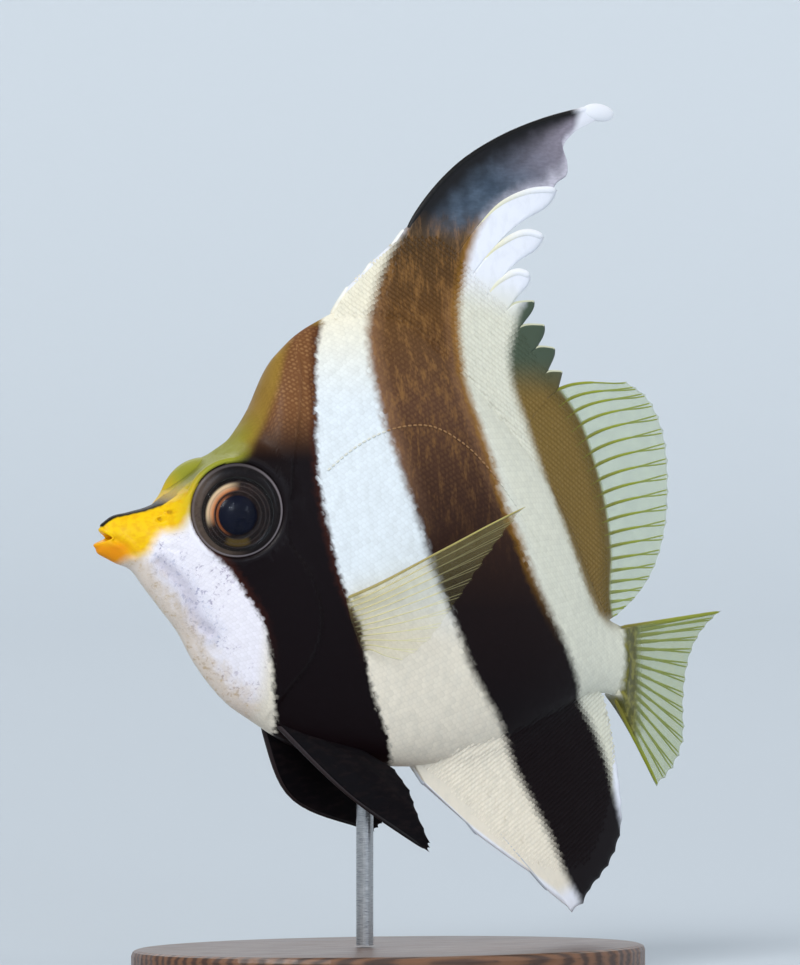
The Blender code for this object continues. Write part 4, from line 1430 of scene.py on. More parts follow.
@dataclass(frozen=True)
class PennantFinish:
    """The pennant: black along its spine, then smoky, and whitish at its free edge and tip."""

    name: str = "pennant_smoke"

    def build(self) -> Material:
        """The finished material."""
        make = Shader(self.name)
        ease, mix = make.ease, make.mix
        across, out, z = make.attribute("across"), make.attribute("out"), make.axis("Z")
        wave = make.noise(0.35, 3, 0.5)
        lines = make.noise(3, 3, stretch=(0.3, 1, 1), turned=(0, -0.6, 0))
        smoke = mix(ease(wave, 0.2, 0.8), tone(54, 68, 84), tone(90, 106, 124))
        smoke = mix(ease(out, 0.5, 0.8), smoke, tone(144, 136, 148))
        lead = ease(across + (wave - 0.5) * 0.2 + ease(out, 0.5, 0.8) * 0.1, 0.1, 0.62)
        colour = mix(lead, tone(9, 7, 10), smoke)
        pale = ease(across * 0.95 + out * 0.5 + (wave - 0.5) * 0.25, 0.98, 1.38)
        colour = mix(pale, colour, tone(222, 216, 228))
        colour = mix(ease(lines, 0.3, 0.7) * 0.18, colour, tone(20, 20, 26))
        base = ease(z + (wave - 0.5) * 4, 112.5, 107)
        colour = mix(base, colour, FleshFinish("").paint(make))
        colour = mix(ease(out, 0.862, 0.905), colour, tone(240, 240, 246))
        alpha = ease(across - base * 0.6, 0.4, 0.95, 1, 0.88)
        return make.finish(Base_Color=colour, Alpha=alpha, Roughness=0.42, Specular_IOR_Level=0.25,
                           Normal=make.bump(lines, 0.3, 0.06), Coat_Weight=0.05)


@dataclass(frozen=True)
class PelvicFinish:
    """The pelvic fins: near black, with faint brown along the rays."""

    name: str = "pelvic_black"

    def build(self) -> Material:
        """The finished material."""
        make = Shader(self.name)
        wave = make.noise(1.2, 4, stretch=(0.4, 1, 1), turned=(0, 0.7, 0))
        colour = make.mix(make.ease(wave, 0.45, 0.72), tone(7, 4, 7), tone(22, 15, 16))
        return make.finish(Base_Color=colour, Roughness=make.ease(wave, 0.3, 0.7, 0.36, 0.54),
                           Normal=make.bump(wave, 0.35, 0.12), Specular_IOR_Level=0.07)


@dataclass(frozen=True)
class EyeFinish:
    """The eye: navy pupil, brown iris with a painted highlight, a bright crescent in front, and a
    smoky outer ring.
    """

    name: str = "eye_colours_painted_highlight"

    def build(self) -> Material:
        """The finished material."""
        make = Shader(self.name)
        ease, mix = make.ease, make.mix
        r = make.attribute("ring_r")
        ahead, up = make.attribute("ahead"), make.attribute("up")
        threads = make.noise(1.6, 5, 0.7, 0.8, stretch=(1, 0.5, 1))
        smoke = mix(ease(ahead - up * 0.35, -0.1, 0.8), tone(14, 8, 9), tone(84, 70, 60))
        smoke = mix(ease(r, 5.8, 5) * 0.75, smoke, tone(20, 13, 12))
        smoke = mix(ease(threads, 0.4, 0.7) * 0.4, smoke, tone(40, 32, 30))
        rim = ease(r, 6.3, 6.5) * ease(r, 6.78, 6.6)
        smoke = mix(rim * ease(ahead + up, 1.1, -0.8, 0.25, 0.85), smoke, tone(136, 126, 128))
        smoke = mix(ease(r, 6.74, 6.9), smoke, tone(34, 26, 22))
        iris = mix(ease(threads, 0.35, 0.7), tone(24, 14, 13), tone(50, 32, 26))
        # Painted highlight: a gold to pale orange crescent on the front, upper side of the iris,
        # where the light falls.
        painted_iris_highlight = ease(ahead * 0.82 + up * 0.57, 0.45, 0.9)
        painted_iris_highlight = painted_iris_highlight * ease(r, 3.35, 3.7) * ease(r, 4.85, 4.5)
        iris = mix(painted_iris_highlight, iris, mix(ease(r, 3.5, 4.5), tone(232, 142, 84), tone(255, 222, 176)))
        fleck = ease(up, -0.86, -0.97) * ease(r, 3.3, 3.7) * ease(r, 4.7, 4.3)
        iris = mix(fleck * 0.8, iris, tone(134, 104, 44))
        warm = ease(ahead, 0.2, 0.8) * ease(r, 2.8, 2.95) * ease(r, 3.3, 3.1)
        iris = mix(warm * 0.8, iris, tone(168, 92, 48))
        for radius in (3.45, 4.15, 4.72):
            line = ease(r, radius - 0.16, radius) * ease(r, radius + 0.16, radius)
            iris = mix(line * 0.3, iris, tone(112, 98, 94))
        colour = mix(ease(r, 4.8, 4.98), iris, smoke)
        colour = mix(ease(r, 2.86, 2.74), colour, tone(4, 9, 32))
        return make.finish(Base_Color=colour, Roughness=0.3, Specular_IOR_Level=0.12,
                           Coat_Weight=0.04, Coat_Roughness=0.06,
                           Normal=make.bump(threads, 0.1, 0.04))


@dataclass(frozen=True)
class CorneaFinish:
    """The clear front of the eye."""

    name: str = "eye_clear"

    def build(self) -> Material:
        """The finished material."""
        make = Shader(self.name)
        make.finish(Base_Color=(0.02, 0.02, 0.02), Roughness=0.03)
        clear = make.node("ShaderNodeBsdfTransparent", {}, {})
        edge = make.node("ShaderNodeFresnel", {}, {"IOR": 1.36})
        parts = [Value(make, part.outputs[0]) for part in (edge, clear, make.principled)]
        both = make.node("ShaderNodeMixShader", {}, dict(enumerate(parts)))
        make.feed(make.output.inputs[0], Value(make, both.outputs[0]))
        return make.material


@dataclass(frozen=True)
class WoodFinish:
    """Dark oiled wood with its grain along the base."""

    name: str = "oiled_walnut"

    def build(self) -> Material:
        """The finished material."""
        make = Shader(self.name)
        flow = make.noise(1, 3, 0.5, 0.6, stretch=(0.03, 0.25, 0.25))
        rings = make.node("ShaderNodeTexWave", {"wave_type": "BANDS", "bands_direction": "Y"},
                          {"Vector": make.place((0.02, 0.22, 0.5)), "Scale": 1, "Distortion": 5,
                           "Detail": 3})
        pores = make.noise(1.3, 2, stretch=(0.12, 2.4, 2.4))
        grain = Value(make, rings.outputs["Fac"]) * 0.6 + flow * 0.5
        colour = make.mix(make.ease(grain, 0.25, 0.85), tone(66, 40, 26), tone(118, 78, 50))
        colour = make.mix(make.ease(pores, 0.6, 0.72) * 0.6, colour, tone(36, 21, 14))
        return make.finish(Base_Color=colour, Roughness=make.ease(pores, 0.3, 0.7, 0.34, 0.5),
                           Normal=make.bump(pores, 0.4, 0.06), Coat_Weight=0.25,
                           Coat_Roughness=0.3)


@dataclass(frozen=True)
class SteelFinish:
    """Brushed steel, with fine lines round the rod."""

    name: str = "brushed_steel"

    def build(self) -> Material:
        """The finished material."""
        make = Shader(self.name)
        brush = make.noise(1.4, 3, stretch=(0.6, 0.6, 9))
        colour = make.mix(make.ease(brush, 0.3, 0.7), tone(150, 150, 152), tone(196, 196, 196))
        return make.finish(Base_Color=colour, Metallic=1, Normal=make.bump(brush, 0.25, 0.03),
                           Roughness=make.ease(brush, 0.3, 0.7, 0.26, 0.42))


@dataclass
class Eye:
    """One eye: a turned eyeball with its smoky ring, and a clear cornea over it."""

    side: Side
    sides: int = 112
    iris_drop: float = 0.7
    ball: tuple = (
        (0, 0.95), (1.2, 0.88), (2.2, 0.68), (2.8, 0.42), (2.95, 0.32), (3.4, 0.33), (4.2, 0.31),
        (4.75, 0.27), (5, 0.31), (5.3, 0.36), (5.8, 0.33), (6.3, 0.2), (6.7, 0), (6.95, -0.35),
        (7, -1), (6, -2), (3, -2.5), (0, -2.6))
    bowl: tuple = (
        (0, -2.7), (3, -2.4), (6, -1.6), (6.9, -0.6), (6.98, 0.05), (7.25, 0.16), (7.5, -0.1),
        (7.6, -1), (7.2, -2.3), (5.8, -3.8), (3, -5), (0, -5.3))
    cornea: tuple = (
        (0, 1.72), (1.5, 1.62), (3, 1.3), (4.2, 0.9), (5, 0.58), (5.35, 0.44), (5.1, 0.42),
        (4, 0.78), (2, 1.4), (0, 1.55))

    def turned(self, name: str, profile: tuple, rows: int, drop: float) -> Piece:
        """Turns a profile about the eye's axis.

        Args:
            name: The piece's name.
            profile: Radius and height outwards, from the crown to the back.
            rows: Rows of faces.
            drop: How far the middle lies below the rim's middle.

        Returns:
            The laid out piece.
        """
        radius, height = path(profile)(np.linspace(0, 1, rows + 1)).T
        blank = Blank.ball(rows, self.sides)
        ex, ey, ez = FORM.eye
        k, angle = blank.along, blank.turn * 2 * math.pi / self.sides
        r, up = np.maximum(radius[k], 0), height[k]
        r = np.where((k == 0) | (k == rows), 0, r)
        across, rising = r * np.cos(angle), r * np.sin(angle)
        drop = -drop * (1 - rise(r, 4.6, 6.9))
        tilt, mirror = FORM.eye_tilt, self.side.value
        points = np.column_stack([
            ex + across * math.cos(tilt) - up * math.sin(tilt),
            mirror * (ey + across * math.sin(tilt) + up * math.cos(tilt)),
            ez + rising + drop])
        marks = MARKINGS.measure(points)
        marks.update(ring_r=r, ahead=-np.cos(angle), up=np.sin(angle))
        faces = blank.faces if self.side is Side.LEFT else [face[::-1] for face in blank.faces]
        piece = Piece(name)
        piece.add(points, faces, marks)
        return piece

    def build(self, finishes: Finishes) -> None:
        """Builds the eye in place of its node, and the bowl of skin behind it.

        Args:
            finishes: Materials by name.
        """
        side = self.side.name.lower()
        made = self.turned(f"eyeball_{side}", self.ball, 120, self.iris_drop).made(
            finishes["eye"], "eye_cornea", swung=False)
        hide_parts(f"eye_{side}")
        self.turned(f"cornea_{side}", self.cornea, 48, self.iris_drop).made(
            finishes["cornea"], "eye_cornea", swung=False)
        bowl = self.turned(f"orbit_{side}", self.bowl, 60, 0.0)
        bowl.marks["crest"] = [np.full(bowl.count, FAR)]
        bowl.made(finishes["skin"], "flesh", swung=False)


@dataclass
class DorsalFin:
    """The dorsal fin: front spines, pennant, notched spiny part and soft rear part."""

    front_spines: tuple = (
        ((-10.5, 93.5), (-8.8, 97.2), (-6.6, 100.6)),
        ((-8, 94.5), (-6, 99.4), (-3, 104.1)),
        ((-5.5, 94.5), (-2.6, 102.2), (2.2, 109)))
    front_notches: tuple = (0.93, 0.9, 0.97)
    pennant_spine: tuple = (
        (-2.6, 94.5), (0.2, 103.2), (3.5, 110), (6.8, 114.4), (11.1, 118.5), (17.6, 122.4),
        (24.3, 125), (31, 126.7), (35, 127.4), (38.2, 126.9))
    pennant_free_edge: tuple = (
        (27.4, 116.2), (29.2, 117.4), (29.3, 119.3), (28.5, 121.3), (30.2, 123.4), (33.2, 124.9),
        (36.4, 126.1))
    rear_spines: tuple = (
        ((2.2, 92), (8.2, 101.8), (13.6, 109.3), (17.9, 113.1), (22.7, 114.9), (27.6, 115.2)),
        ((5.8, 90.5), (11.6, 100.6), (17.5, 106.9), (22.3, 108.8), (25.2, 108.2)),
        ((8.6, 88.4), (13.4, 96.6), (17.9, 101.9), (20.6, 103), (22.8, 102.5)),
        ((11.2, 86), (15.8, 93.4), (19.9, 98.3), (23.5, 98.8)),
        ((13.6, 83.6), (17.6, 90.6), (21.2, 95), (25.3, 95.3)),
        ((15.8, 81.2), (19.8, 87.6), (24, 92), (27.2, 91.9)),
        ((17.8, 78.8), (21.6, 84.4), (25.8, 88.4), (28.6, 88.5)))
    rear_notches: tuple = (0.65, 0.75, 0.78, 0.77, 0.81, 0.82, 0.95)
    rear_falls: tuple = (2.5, 2.3, 2, 1.5, 1.5, 1.5, 1.5)
    soft_roots: tuple = ((19, 77), (25, 69), (31, 58.6), (35.6, 51.6))
    soft_tips: tuple = (
        (41.8, 87.2), (47, 84.7), (50.3, 79.9), (51.4, 72.6), (50.7, 65.4), (48.1, 59.6),
        (43.8, 55.3), (39.6, 52.8))
    soft_bow: tuple = (-3.4, 3.4)
    soft_rays: int = 20
    tip_centre: tuple = (35.7, 126.75)
    tip_size: tuple = (3.2, 0.6, 1.3)
    tip_lean: float = math.radians(-4)
    root: float = 0.7
    flare: float = 2.1
    flare_from: float = -10.0

    def lobed(self, name: str, pieces: list[list[Column]], finish: Material, slot: str,
              node: str) -> Thing:
        """Builds the skin behind a row of spines as one object, a closed sheet for each spine."""
        parts = []
        for n, columns in enumerate(pieces):
            sheet = Membrane(f"{name}_{n}", columns, 44, self.flare, flare_from=self.flare_from)
            parts.append(sheet.build(finish, slot, None))
        bpy.ops.object.select_all(action="DESELECT")
        for part in parts:
            part.select_set(True)
        bpy.context.view_layer.objects.active = parts[0]
        bpy.ops.object.join()
        made = bpy.context.object
        made.name = name
        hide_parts(node)
        LOG.info("%s: joined from %d sheets", name, len(parts))
        return made

    def build(self, finishes: Finishes) -> list[Thing]:
        """Builds the whole dorsal fin.

        Args:
            finishes: Materials by name.

        Returns:
            The pieces whose bases carry scales.
        """
        pennant = path(self.pennant_spine)
        front = [path(s) for s in self.front_spines]
        columns = stiff([*front, first_part(pennant, 0.3)], self.front_notches, self.root, 0.5)
        first = self.lobed("dorsal_skin_front", columns, finishes["fin_flesh"], "fin_pale",
                           "dorsal_fin_front")
        Rays("dorsal_spines_front", front, 0.45, 0.34, start=0.4, end=1.0).build(
            finishes["pale_spine"], "fin_pale")
        rear = [path(s) for s in self.rear_spines]
        seam = rear[0](np.linspace(0, 0.97, 7))
        free = path([*seam, *self.pennant_free_edge])
        sheet = [Column(between(pennant, free, share), 1.0, self.root, 0.5, share)
                 for share in np.linspace(0, 1, 33)]
        banner = Membrane("pennant_skin", sheet, 120, self.flare, flare_from=self.flare_from)
        banner = banner.build(finishes["pennant"], "pennant_dark", "pennant")
        self.tip(finishes["tip"])
        Rays("pennant_spine", [pennant], 0.5, 0.4, rows=90, sides=12, start=0.26, end=0.97).build(
            finishes["pennant_spine"], "pennant_dark")
        soft = spread(path(self.soft_roots), path(self.soft_tips), self.soft_rays, self.soft_bow)
        columns = stiff([*rear, first_part(soft[0], 0.5)], self.rear_notches, self.root, 0.55,
                        self.rear_falls)
        middle = self.lobed("dorsal_skin_spiny", columns, finishes["fin_flesh"], "fin_pale",
                            "dorsal_fin_spiny")
        Rays("dorsal_spines_white", rear[:3], 0.3, 0.66, 14, 60, start=0.5, end=0.99).build(
            finishes["white_spine"], "fin_pale")
        Rays("dorsal_spines_dusky", rear[3:], 0.34, 0.24, start=0.55, end=1.0, rows=40).build(
            finishes["rear_spine"], "fin_pale")
        columns = fan(soft, 0.985, self.root, 0.16)
        last = Membrane("dorsal_skin_soft", columns, flare=self.flare).build(
            finishes["soft_dorsal"], "fin_yellow", "dorsal_fin_soft")
        Rays("dorsal_rays_soft", soft, 0.34, 0.13, split=0.72, start=0.3).build(
            finishes["yellow_ray"], "fin_yellow")
        return [first, banner, middle, last]

    def tip(self, finish: Material) -> None:
        """Rounds off the pennant with its white tip."""
        blank = Blank.ball(24, 24)
        polar, turn = blank.along * math.pi / 24, blank.turn * math.pi / 12
        along, radius = -np.cos(polar), np.sin(polar)
        lean = self.tip_lean
        x, z = along * self.tip_size[0], radius * np.sin(turn) * self.tip_size[2]
        points = np.column_stack([
            self.tip_centre[0] + x * math.cos(lean) - z * math.sin(lean),
            radius * np.cos(turn) * self.tip_size[1],
            self.tip_centre[1] + x * math.sin(lean) + z * math.cos(lean)])
        piece = Piece("pennant_tip")
        marks = MARKINGS.measure(points)
        marks.update(out=np.ones(len(points)), across=np.zeros(len(points)))
        piece.add(points, blank.faces, marks)
        piece.made(finish, "pennant_dark")


@dataclass
class LowerFins:
    """The anal fin and the tail fin."""

    anal_spines: tuple = (
        ((2, 33.2), (3.4, 31.4), (5.4, 28.4)),
        ((4, 33.4), (8.6, 27.6), (13.9, 21)),
        ((6.8, 33.8), (16, 22.8), (25.8, 12.6)))
    anal_notches: tuple = (0.94, 0.9, 0.97)
    anal_roots: tuple = ((10, 34.2), (18, 36.2), (26, 39.6), (33.4, 43.2))
    anal_tips: tuple = (
        (30.4, 9.2), (32.8, 10.6), (34.4, 13), (36.8, 14.8), (39.5, 18.3), (40.8, 22),
        (40.5, 26.4), (39.7, 30.6), (38.6, 34.6), (36.8, 39.8))
    anal_rays: int = 15
    tail_roots: tuple = ((38.6, 50.6), (38.9, 48), (39, 44), (38.8, 41))
    tail_tips: tuple = (
        (63.7, 53.1), (59.8, 50.7), (57, 47.6), (55.4, 43.4), (54.9, 38.6), (55, 34.2),
        (52.6, 30), (48.7, 27.2))
    tail_rays: int = 15
    root: float = 0.7
    edge_share: float = 0.12

    def build(self, finishes: Finishes) -> list[Thing]:
        """Builds both fins.

        Args:
            finishes: Materials by name.

        Returns:
            The pieces whose bases carry scales.
        """
        soft = spread(path(self.anal_roots), path(self.anal_tips), self.anal_rays)
        spines = [path(s) for s in self.anal_spines]
        lobes = stiff([*spines, soft[0]], self.anal_notches, self.root, 0.5)
        columns = [column for lobe in lobes for column in lobe[:-1]]
        columns += fan(soft, 0.99, self.root, 0.3)
        made = Membrane("anal_skin", columns, 54, 3.2, flare_reach=3.5, flare_from=3.0).build(
            finishes["fin_flesh"], "fin_black", "anal_fin")
        Rays("anal_spines", spines, 0.5, 0.3, start=0.2, end=1.0).build(
            finishes["grey_spine"], "fin_black")
        Rays("anal_rays", soft, 0.3, 0.14, split=0.78, start=0.58, end=0.965).build(
            finishes["fin_flesh"], "fin_black")
        tail = spread(path(self.tail_roots), path(self.tail_tips), self.tail_rays)
        Membrane("tail_skin", fan(tail, 0.975, self.root, 0.16), flare=11.0, flare_reach=3.2,
                 flare_inside=0.0, dive_from=0.2, dive_length=1.2).build(
            finishes["tail"], "fin_yellow", "tail_fin")
        Rays("tail_rays", tail, 0.42, 0.13, split=0.5, start=0.08).build(
            finishes["tail_ray"], "fin_yellow")
        edges = [between(edge, near, self.edge_share)
                 for edge, near in ((tail[0], tail[1]), (tail[-1], tail[-2]))]
        Rays("tail_edge_rays", edges, 0.5, 0.24, start=0.05, end=0.99).build(
            finishes["tail_ray"], "fin_yellow")
        return [made]


@dataclass
class PairedFins:
    """A clear pectoral and a black pelvic fin on each side."""

    roots: tuple = ((-11.4, -7.3, 55.2), (-9.9, -7.4, 52), (-7.8, -7.3, 48.2))
    tips: tuple = (
        (15.4, -12.6, 68.8), (12.2, -13, 65), (8, -13, 59.4), (4, -12.6, 53.8), (0.2, -12, 49),
        (-3.2, -11.2, 46.6))
    knee: tuple = (0.3, -2, 0.2)
    bulge: tuple = (0, -1.6, 0)
    rays: int = 12
    pelvic_near: tuple = (
        ((-19.4, -1.8, 38.4), (-8.5, -5.4, 27.2), (3.4, -6.4, 18.9)),
        ((-18.4, -1.8, 38.2), (-6.8, -5.2, 29.6), (3.6, -6.2, 20.2)),
        ((-17.4, -1.8, 37.8), (-6, -4.8, 31.2), (1.9, -5.6, 24.4)),
        ((-16.4, -1.8, 37.6), (-6, -4.2, 32.4), (1, -4.8, 27.8)),
        ((-15.2, -1.8, 37.8), (-6.2, -3.6, 33.6), (-1, -4, 30.8)))
    pelvic_far: tuple = (
        ((-19.6, 1.8, 38.4), (-13.9, 4.8, 27.4), (0.6, 7, 21.4)),
        ((-18.6, 1.8, 38.2), (-11.5, 4.8, 28.6), (1.8, 6.8, 22.6)),
        ((-17.6, 1.8, 37.8), (-9, 4.6, 30.2), (1.6, 6.2, 25.4)),
        ((-16.6, 1.8, 37.4), (-7.6, 4.2, 31.6), (0.8, 5.2, 28.2)),
        ((-15.6, 1.8, 37), (-7.4, 3.6, 32), (-1, 4.2, 30.2)))

    def pectoral_lines(self, side: Side) -> list[Line]:
        """The pectoral fin's rays on one side."""
        flip = np.array([1, -side.value, 1])
        roots, tips = path(np.array(self.roots) * flip), path(np.array(self.tips) * flip)
        lines = []
        for share in np.linspace(0, 1, self.rays):
            start, end = roots(share), tips(share)
            knee = start + 0.1 * (end - start) + np.array(self.knee) * flip
            middle = (start + end) / 2 + np.array(self.bulge) * flip
            lines.append(path([start, knee, middle, end]))
        return lines

    def build(self, finishes: Finishes) -> None:
        """Builds all four fins.

        Args:
            finishes: Materials by name.
        """
        for side in Side:
            word = side.name.lower()
            lines = self.pectoral_lines(side)
            Membrane(f"pectoral_skin_{word}", fan(lines, 0.97, 0.7, 0.1)).build(
                finishes["pectoral"], "fin_clear", f"pectoral_fin_{word}")
            Rays(f"pectoral_rays_{word}", lines, 0.13, 0.05, split=0.55, sides=6).build(
                finishes["pectoral_ray"], "fin_clear")
            Rays(f"pectoral_edge_{word}", [lines[0]], 0.24, 0.1, end=1.0).build(
                finishes["pectoral_edge"], "fin_clear")
            pelvic = self.pelvic_near if side is Side.LEFT else self.pelvic_far
            rays = [path(ray) for ray in pelvic]
            fine = [between(a, b, s) for a, b in zip(rays[:-1], rays[1:]) for s in (0.0, 0.5)]
            fine.append(rays[-1])
            Membrane(f"pelvic_skin_{word}", fan(fine, 0.985, 1.5, 0.3)).build(
                finishes["pelvic"], "fin_black", f"pelvic_fin_{word}")
            Rays(f"pelvic_rays_{word}", fine[1:], 0.45, 0.14, split=0.7, end=0.965).build(
                finishes["pelvic"], "fin_black")
            Rays(f"pelvic_spine_{word}", [rays[0]], 0.6, 0.25, end=0.97).build(
                finishes["pelvic_spine"], "fin_black")


def aimed(side: Side, x: float, z: float, reach: float) -> tuple[Vector, Vector]:
    """The start and direction of a ray that runs square to the fish's middle plane.

    Args:
        side: The side that it comes from.
        x: The place along the straight fish.
        z: The height.
        reach: How far from the middle plane it starts.

    Returns:
        The start in metres, and the direction.
    """
    ends = SWING.turn([[x, side.value * reach, z], [x, 0.0, z]]) * MM
    return Vector(ends[0]), Vector(ends[1] - ends[0]).normalized()


@dataclass
class FinScales:
    """Small scales over the fleshy base of the middle fins, on both sides."""

    pitch: float = 0.76
    across: tuple = (-9, 39)
    up: tuple = (14, 108)
    stray: float = 0.03
    seed: int = 5
    shape_sides: int = 6
    upper: tuple = (
        (-11, 95.5), (-9, 98.2), (-5, 102), (-1, 106), (4, 108.6), (8, 108), (12, 104.5),
        (16, 100.5), (20, 96.5), (24, 90.5), (28, 86.5), (31, 82), (36, 71), (38.5, 52))
    lower: tuple = (
        (3, 32.2), (8, 28.6), (14, 23.2), (20, 17.8), (24, 16.2), (30, 15.6), (35, 18.5),
        (38, 26), (39.5, 36))
    shrink: float = 3.2
    smallest: float = 0.6
    overlap: float = 5.0
    dive: tuple = (-0.16, -0.03, 0.3)
    heights: tuple = (-0.03, 0.03, 0.018)
    column_share: float = 0.74
    long_share: float = 1.6
    wide_share: float = 1.2
    flatter: float = 0.45
    slant: float = 0.75
    read_share: float = 0.8
    reach: float = 12.0

    def room(self, x: Array, z: Array) -> Array:
        """How far points lie inside the scaled base of a fin, in millimetres."""
        above = curve(self.upper)(x) - z
        above = np.where(z < 88, np.minimum(above, curve(MARKINGS.clear_rim)(z) - 0.4 - x), above)
        below = np.where((x > 3) & (x < 39.4), z - curve(self.lower)(x), -1)
        upper = z > 60 - 0.6 * np.maximum(x - 20, 0)
        inner = np.where(upper, z - curve(FORM.back)(x), curve(FORM.belly)(x) - z) + self.overlap
        return np.minimum(np.where(upper, above, below), 3 * inner)

    def build(self, fins: list[Thing], skin: Thing,
              finish: Material) -> Thing:
        """Lays the scales on the fins.

        Args:
            fins: The fins' finished skins.
            skin: The body's finished skin.
            finish: The scales' material.

        Returns:
            The object that holds them all.
        """
        rng = np.random.default_rng(self.seed)
        column = self.pitch * self.column_share
        places = []
        for n, x in enumerate(np.arange(*self.across, column)):
            zs = np.arange(*self.up, self.pitch) + (n % 2) * 0.5 * self.pitch
            places.append(np.column_stack([np.full(len(zs), x), zs]))
        spots = np.vstack(places)
        spots = spots + rng.normal(0, self.stray, spots.shape)
        room = self.room(spots[:, 0], spots[:, 1])
        spots, room = spots[room > 0], room[room > 0]
        sizes = self.smallest + (1 - self.smallest) * np.clip(room / self.shrink, 0, 1)
        depsgraph = bpy.context.evaluated_depsgraph_get()
        trees = [BVHTree.FromObject(thing, depsgraph) for thing in fins]
        under = BVHTree.FromObject(skin, depsgraph)
        blank = Blank.disc(self.shape_sides)
        along, across, lift = ScaleShape(sides=self.shape_sides).corners(blank)
        piece = Piece("fin_scales", thin=True)
        for side in Side:
            for (x, z), size in zip(spots, sizes):
                ray = (*aimed(side, x, z, self.reach), self.reach * MM)
                hits = [hit for tree in trees if (hit := tree.ray_cast(*ray))[0]]
                if not hits:
                    continue
                hit = min(hits, key=lambda found: found[3])
                body = under.ray_cast(*ray)
                clear = (body[3] - hit[3]) / MM if body[0] else FAR
                if clear < self.dive[0]:
                    continue
                hit = body if clear < 0 else hit
                height = float(np.interp(clear, self.dive, self.heights))
                shape = (along * size, across * size, lift * self.flatter + height)
                self.lay(piece, blank, shape, (x, z), side, hit, float(rng.random()))
        return piece.made(finish, "fin_pale", swung=False)

    def lay(self, piece: Piece, blank: Blank, shape: tuple[Array, Array, Array],
            spot: tuple[float, float], side: Side, hit: tuple, shade: float) -> None:
        """Lays one scale.

        Args:
            piece: The piece that it joins.
            blank: The disc that it is made from.
            shape: The corners' shares along and across the scale, and lifts.
            spot: Its place (x, z) on the straight fish.
            side: The side that it lies on.
            hit: Where a ray met the fin: place, normal, face and distance.
            shade: Its own lightness.
        """
        along, across, lift = shape
        normal = np.array(hit[1])
        if normal[1] * side.value < 0:
            normal = -normal
        upward = self.slant if spot[1] > 60 else -self.slant
        flow = np.array([1.0, 0.0, upward])
        flow = unit(flow - normal * flow.dot(normal))
        wide = np.cross(normal, flow)
        long_size, wide_size = self.pitch * self.long_share, self.pitch * self.wide_share
        centre = np.array(hit[0]) / MM
        points = (centre + np.outer(along * long_size, flow) + np.outer(across * wide_size, wide)
                  + np.outer(lift, normal))
        ahead = along * long_size * self.read_share
        straight = np.column_stack([spot[0] + ahead, 0 * ahead, spot[1] + ahead * upward])
        marks = MARKINGS.measure(straight)
        marks.update(shade=np.full(len(along), shade), middle=(blank.turn < 0).astype(float))
        offset = 0.0 if side is Side.LEFT else 0.5
        patch = np.column_stack([offset + (spot[0] + 12) / 110 + PATCH * (along - 0.1),
                                 spot[1] / 115 + PATCH * across])
        piece.add(points, blank.faces, marks, patch)


@dataclass
class LateralLine:
    """The row of small pored scales that arches over each flank."""

    route: tuple = (
        (-12.9, 74.2), (-9.8, 76.6), (-6.6, 78.5), (-1.2, 80.3), (3.7, 80.4), (9, 78),
        (14.5, 72.8), (19.5, 66), (24.5, 58), (28.5, 52.2), (32, 49))
    spacing: float = 0.85
    pore: tuple = (0.34, 0.16, 0.1)
    shrink: tuple = (15, 19)
    reach: float = 14.0

    def build(self, side: Side, skin: Thing, finish: Material) -> None:
        """Lays the row along one flank.

        Args:
            side: The side that it lies on.
            skin: The finished skin.
            finish: The row's material.
        """
        line = path(self.route)
        run = line(np.linspace(0, 1, 400))
        length = float(np.linalg.norm(np.diff(run, axis=0), axis=1).sum())
        tree = BVHTree.FromObject(skin, bpy.context.evaluated_depsgraph_get())
        piece = Piece(f"lateral_line_{side.name.lower()}")
        blank = Blank.ball(6, 8)
        polar, angle = blank.along * math.pi / 6, blank.turn * math.pi / 4
        for t in np.linspace(0, 1, int(length / self.spacing)):
            x, z = line(t)
            place, normal, _, _ = tree.ray_cast(*aimed(side, x, z, self.reach), self.reach * MM)
            if place is None:
                continue
            ahead = SWING.turn([[x, 0, z], [x + 0.5, 0, float(line(min(t + 0.01, 1))[1])]])
            flow = ahead[1] - ahead[0]
            out = np.array(normal) * (1 if normal[1] * side.value > 0 else -1)
            flow = unit(flow - out * flow.dot(out))
            size = 1 - 0.5 * float(rise(np.array(x), *self.shrink))
            long_size, wide_size, high = (part * size for part in self.pore)
            points = (np.array(place) / MM + np.outer(-long_size * np.cos(polar), flow)
                      + np.outer(wide_size * np.sin(polar) * np.cos(angle), np.cross(out, flow))
                      + np.outer(high * (np.sin(polar) * np.sin(angle) + 1), out))
            straight = np.tile([x, 0.0, z], (len(points), 1))
            piece.add(points, blank.faces, MARKINGS.measure(straight))
        piece.made(finish, "flesh", swung=False)


@dataclass(frozen=True)
class PoreFinish:
    """The pored scales: pale on the white, golden brown over the bands."""

    name: str = "lateral_line_pale"

    def build(self) -> Material:
        """The finished material."""
        make = Shader(self.name)
        dark = make.ease(make.attribute("second_band"), -0.4, 0.4)
        colour = make.mix(dark, tone(222, 221, 206), tone(150, 108, 62))
        grain = make.noise(2, 3)
        return make.finish(Base_Color=colour, Roughness=make.ease(grain, 0.3, 0.7, 0.35, 0.5),
                           Coat_Weight=0.2)


